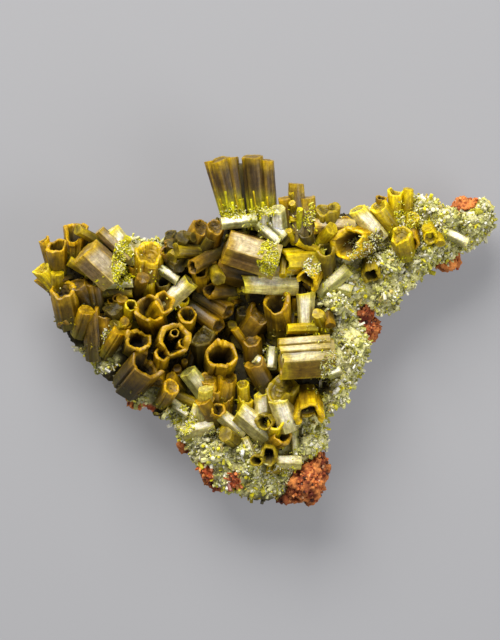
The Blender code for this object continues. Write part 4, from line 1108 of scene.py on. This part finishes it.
def druse(rng, widths, stretch, per_mm2, sides):
    """The small prisms of the crust: many and pale in the margins, few and dull in the basin."""
    soup = Soup()
    places, normals = surface_samples("grain_crust", per_mm2, rng)
    pale, rust = (share_of(spots, places[:, 0], places[:, 1]) for spots in (PALE_SPOTS, RUST_SPOTS))
    kept = (normals[:, 2] > -0.35) & (rng.random(len(places)) < 0.15 + 0.85 * pale)
    places, normals, pale, rusty = places[kept], normals[kept], pale[kept], rust[kept] > 0.4
    for palette, chosen in ((PALE, (pale > 0.5) & ~rusty), (DULL, (pale <= 0.5) & ~rusty), (RUST, rusty)):
        count = int(chosen.sum())
        ways = normals[chosen] * 0.5 + random_ways(count, rng)
        wide = rng.uniform(*widths, count) * rng.uniform(0.7, 1.3, count)
        long = wide * rng.uniform(*stretch, count)
        tints = pick(palette, count, rng)
        rough = rng.uniform(0.25, 0.6, count).repeat(2 * sides + 1)
        feet = places[chosen] - normals[chosen] * 0.1
        add_grains(soup, feet, ways, wide, long, tints, rough, rng, sides)
    return soup


def crumbs(rng):
    """Loose-looking grains of the gossan."""
    soup = Soup()
    places, normals = surface_samples("gossan_matrix", CRUMBS_PER_MM2, rng)
    kept = (normals[:, 2] > -0.6) & (places[:, 2] > 1.5)
    places, normals = places[kept], normals[kept]
    count = len(places)
    ways = normals + random_ways(count, rng) * 1.2
    wide = rng.uniform(0.1, 0.34, count)
    tints = pick(RUST, count, rng)
    long = wide * rng.uniform(0.5, 1.2, count)
    add_grains(soup, places - normals * 0.1, ways, wide, long, tints, 0.8, rng, 5)
    return soup


def show(soup, name, material, smooth_angle, slot, *nodes):
    """Makes a soup's mesh, in place of the solids that it covers."""
    made = soup.mesh(name, material, smooth_angle)
    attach(made, "root")
    if nodes:
        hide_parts(*nodes)


def build_object():
    rng = np.random.default_rng(SEED)
    crystal_look, grain_look, rock_look = crystal_material(), grain_material(), rock_material()
    soups = make_crystals(rng)
    slots = {row["node"]: row["material_slot"] for row in frame["record"]["subparts"]}
    for name, soup in soups.items():
        show(soup, name + "_crystals", crystal_look, SMOOTH_ANGLE, slots[name], name)
    crust = rough_copy("crust_bed", "grain_crust", 0.22, 0.4, crust_tint, grain_look)
    rock = rough_copy("gossan_rock", "gossan_matrix", 0.24, 0.7, rock_tint, rock_look)
    tree = surface_tree(soups.values(), crust)
    small, feet, grown = Soup(), Soup(), Soup()
    fill_crystals(small, tree, surface_tree(soups.values()), rng)
    lay_crystals(small, tree, rng)
    show(small, "small_crystals", crystal_look, SMOOTH_ANGLE, "olive")
    for cluster in CLUSTERS.values():
        add_foot_grains(feet, tree, cluster, rng)
    for patch in PATCHES:
        cast_grains(grown, tree, patch, rng)
    show(feet, "foot_grains", grain_look, None, "druse")
    show(grown, "grown_grains", grain_look, None, "druse")
    show(druse(rng, *PRISMS), "druse_prisms", grain_look, None, "druse")
    show(druse(rng, *FINE_PRISMS), "druse_grains", grain_look, None, "druse")
    show(crumbs(rng), "gossan_crumbs", rock_look, None, "gossan")


def add_floor():
    data = bpy.data.meshes.new("floor")
    half = 3000 * MM
    corners = [(-half, -half, 0), (half, -half, 0), (half, half, 0), (-half, half, 0)]
    data.from_pydata(corners, [], [(0, 1, 2, 3)])
    material = bpy.data.materials.new("floor_paper")
    material.use_nodes = True
    set_inputs(material.node_tree, material.node_tree.nodes["Principled BSDF"], {
        "Base Color": (0.185, 0.185, 0.196, 1),
        "Emission Color": (0.97, 0.97, 1.0, 1),
        "Emission Strength": 0.178,
        "Roughness": 0.8,
    })
    data.materials.append(material)
    floor = placed("floor", data)


def area_light(name, towards, distance, width, height, power, colour):
    """A soft light that looks at the specimen from a direction."""
    data = bpy.data.lights.new(name, "AREA")
    data.shape = "RECTANGLE"
    data.size, data.size_y = width * MM, height * MM
    data.energy = power
    data.color = colour
    way = Vector(towards).normalized()
    made = placed(name, data)
    made.location = (Vector(VIEW_MIDDLE) + way * distance) * MM
    made.rotation_euler = way.to_track_quat("Z", "Y").to_euler()


def add_world():
    world = bpy.data.worlds.new("studio")
    world.use_nodes = True
    values = {"Color": (0.96, 0.97, 1.0, 1), "Strength": 0.28}
    set_inputs(world.node_tree, world.node_tree.nodes["Background"], values)
    bpy.context.scene.world = world


def add_camera():
    """The camera, straight over the display face."""
    data = bpy.data.cameras.new("camera")
    data.sensor_width = SENSOR
    data.lens = SENSOR * CAMERA_DISTANCE / VIEW_HEIGHT
    data.clip_start, data.clip_end = 0.01, 10
    camera = placed("camera", data)
    x, y, z = VIEW_MIDDLE
    camera.location = (x * MM, y * MM, (z + CAMERA_DISTANCE) * MM)
    bpy.context.scene.camera = camera


build_object()
add_floor()
area_light("key", (-0.216, 0.756, 0.62), 380, 300, 220, 2.75, (1.0, 0.98, 0.93))
area_light("fill", (0.75, -0.35, 0.6), 420, 260, 260, 0.85, (0.96, 0.98, 1.0))
add_world()
add_camera()
bpy.context.scene.view_settings.view_transform = "Standard"
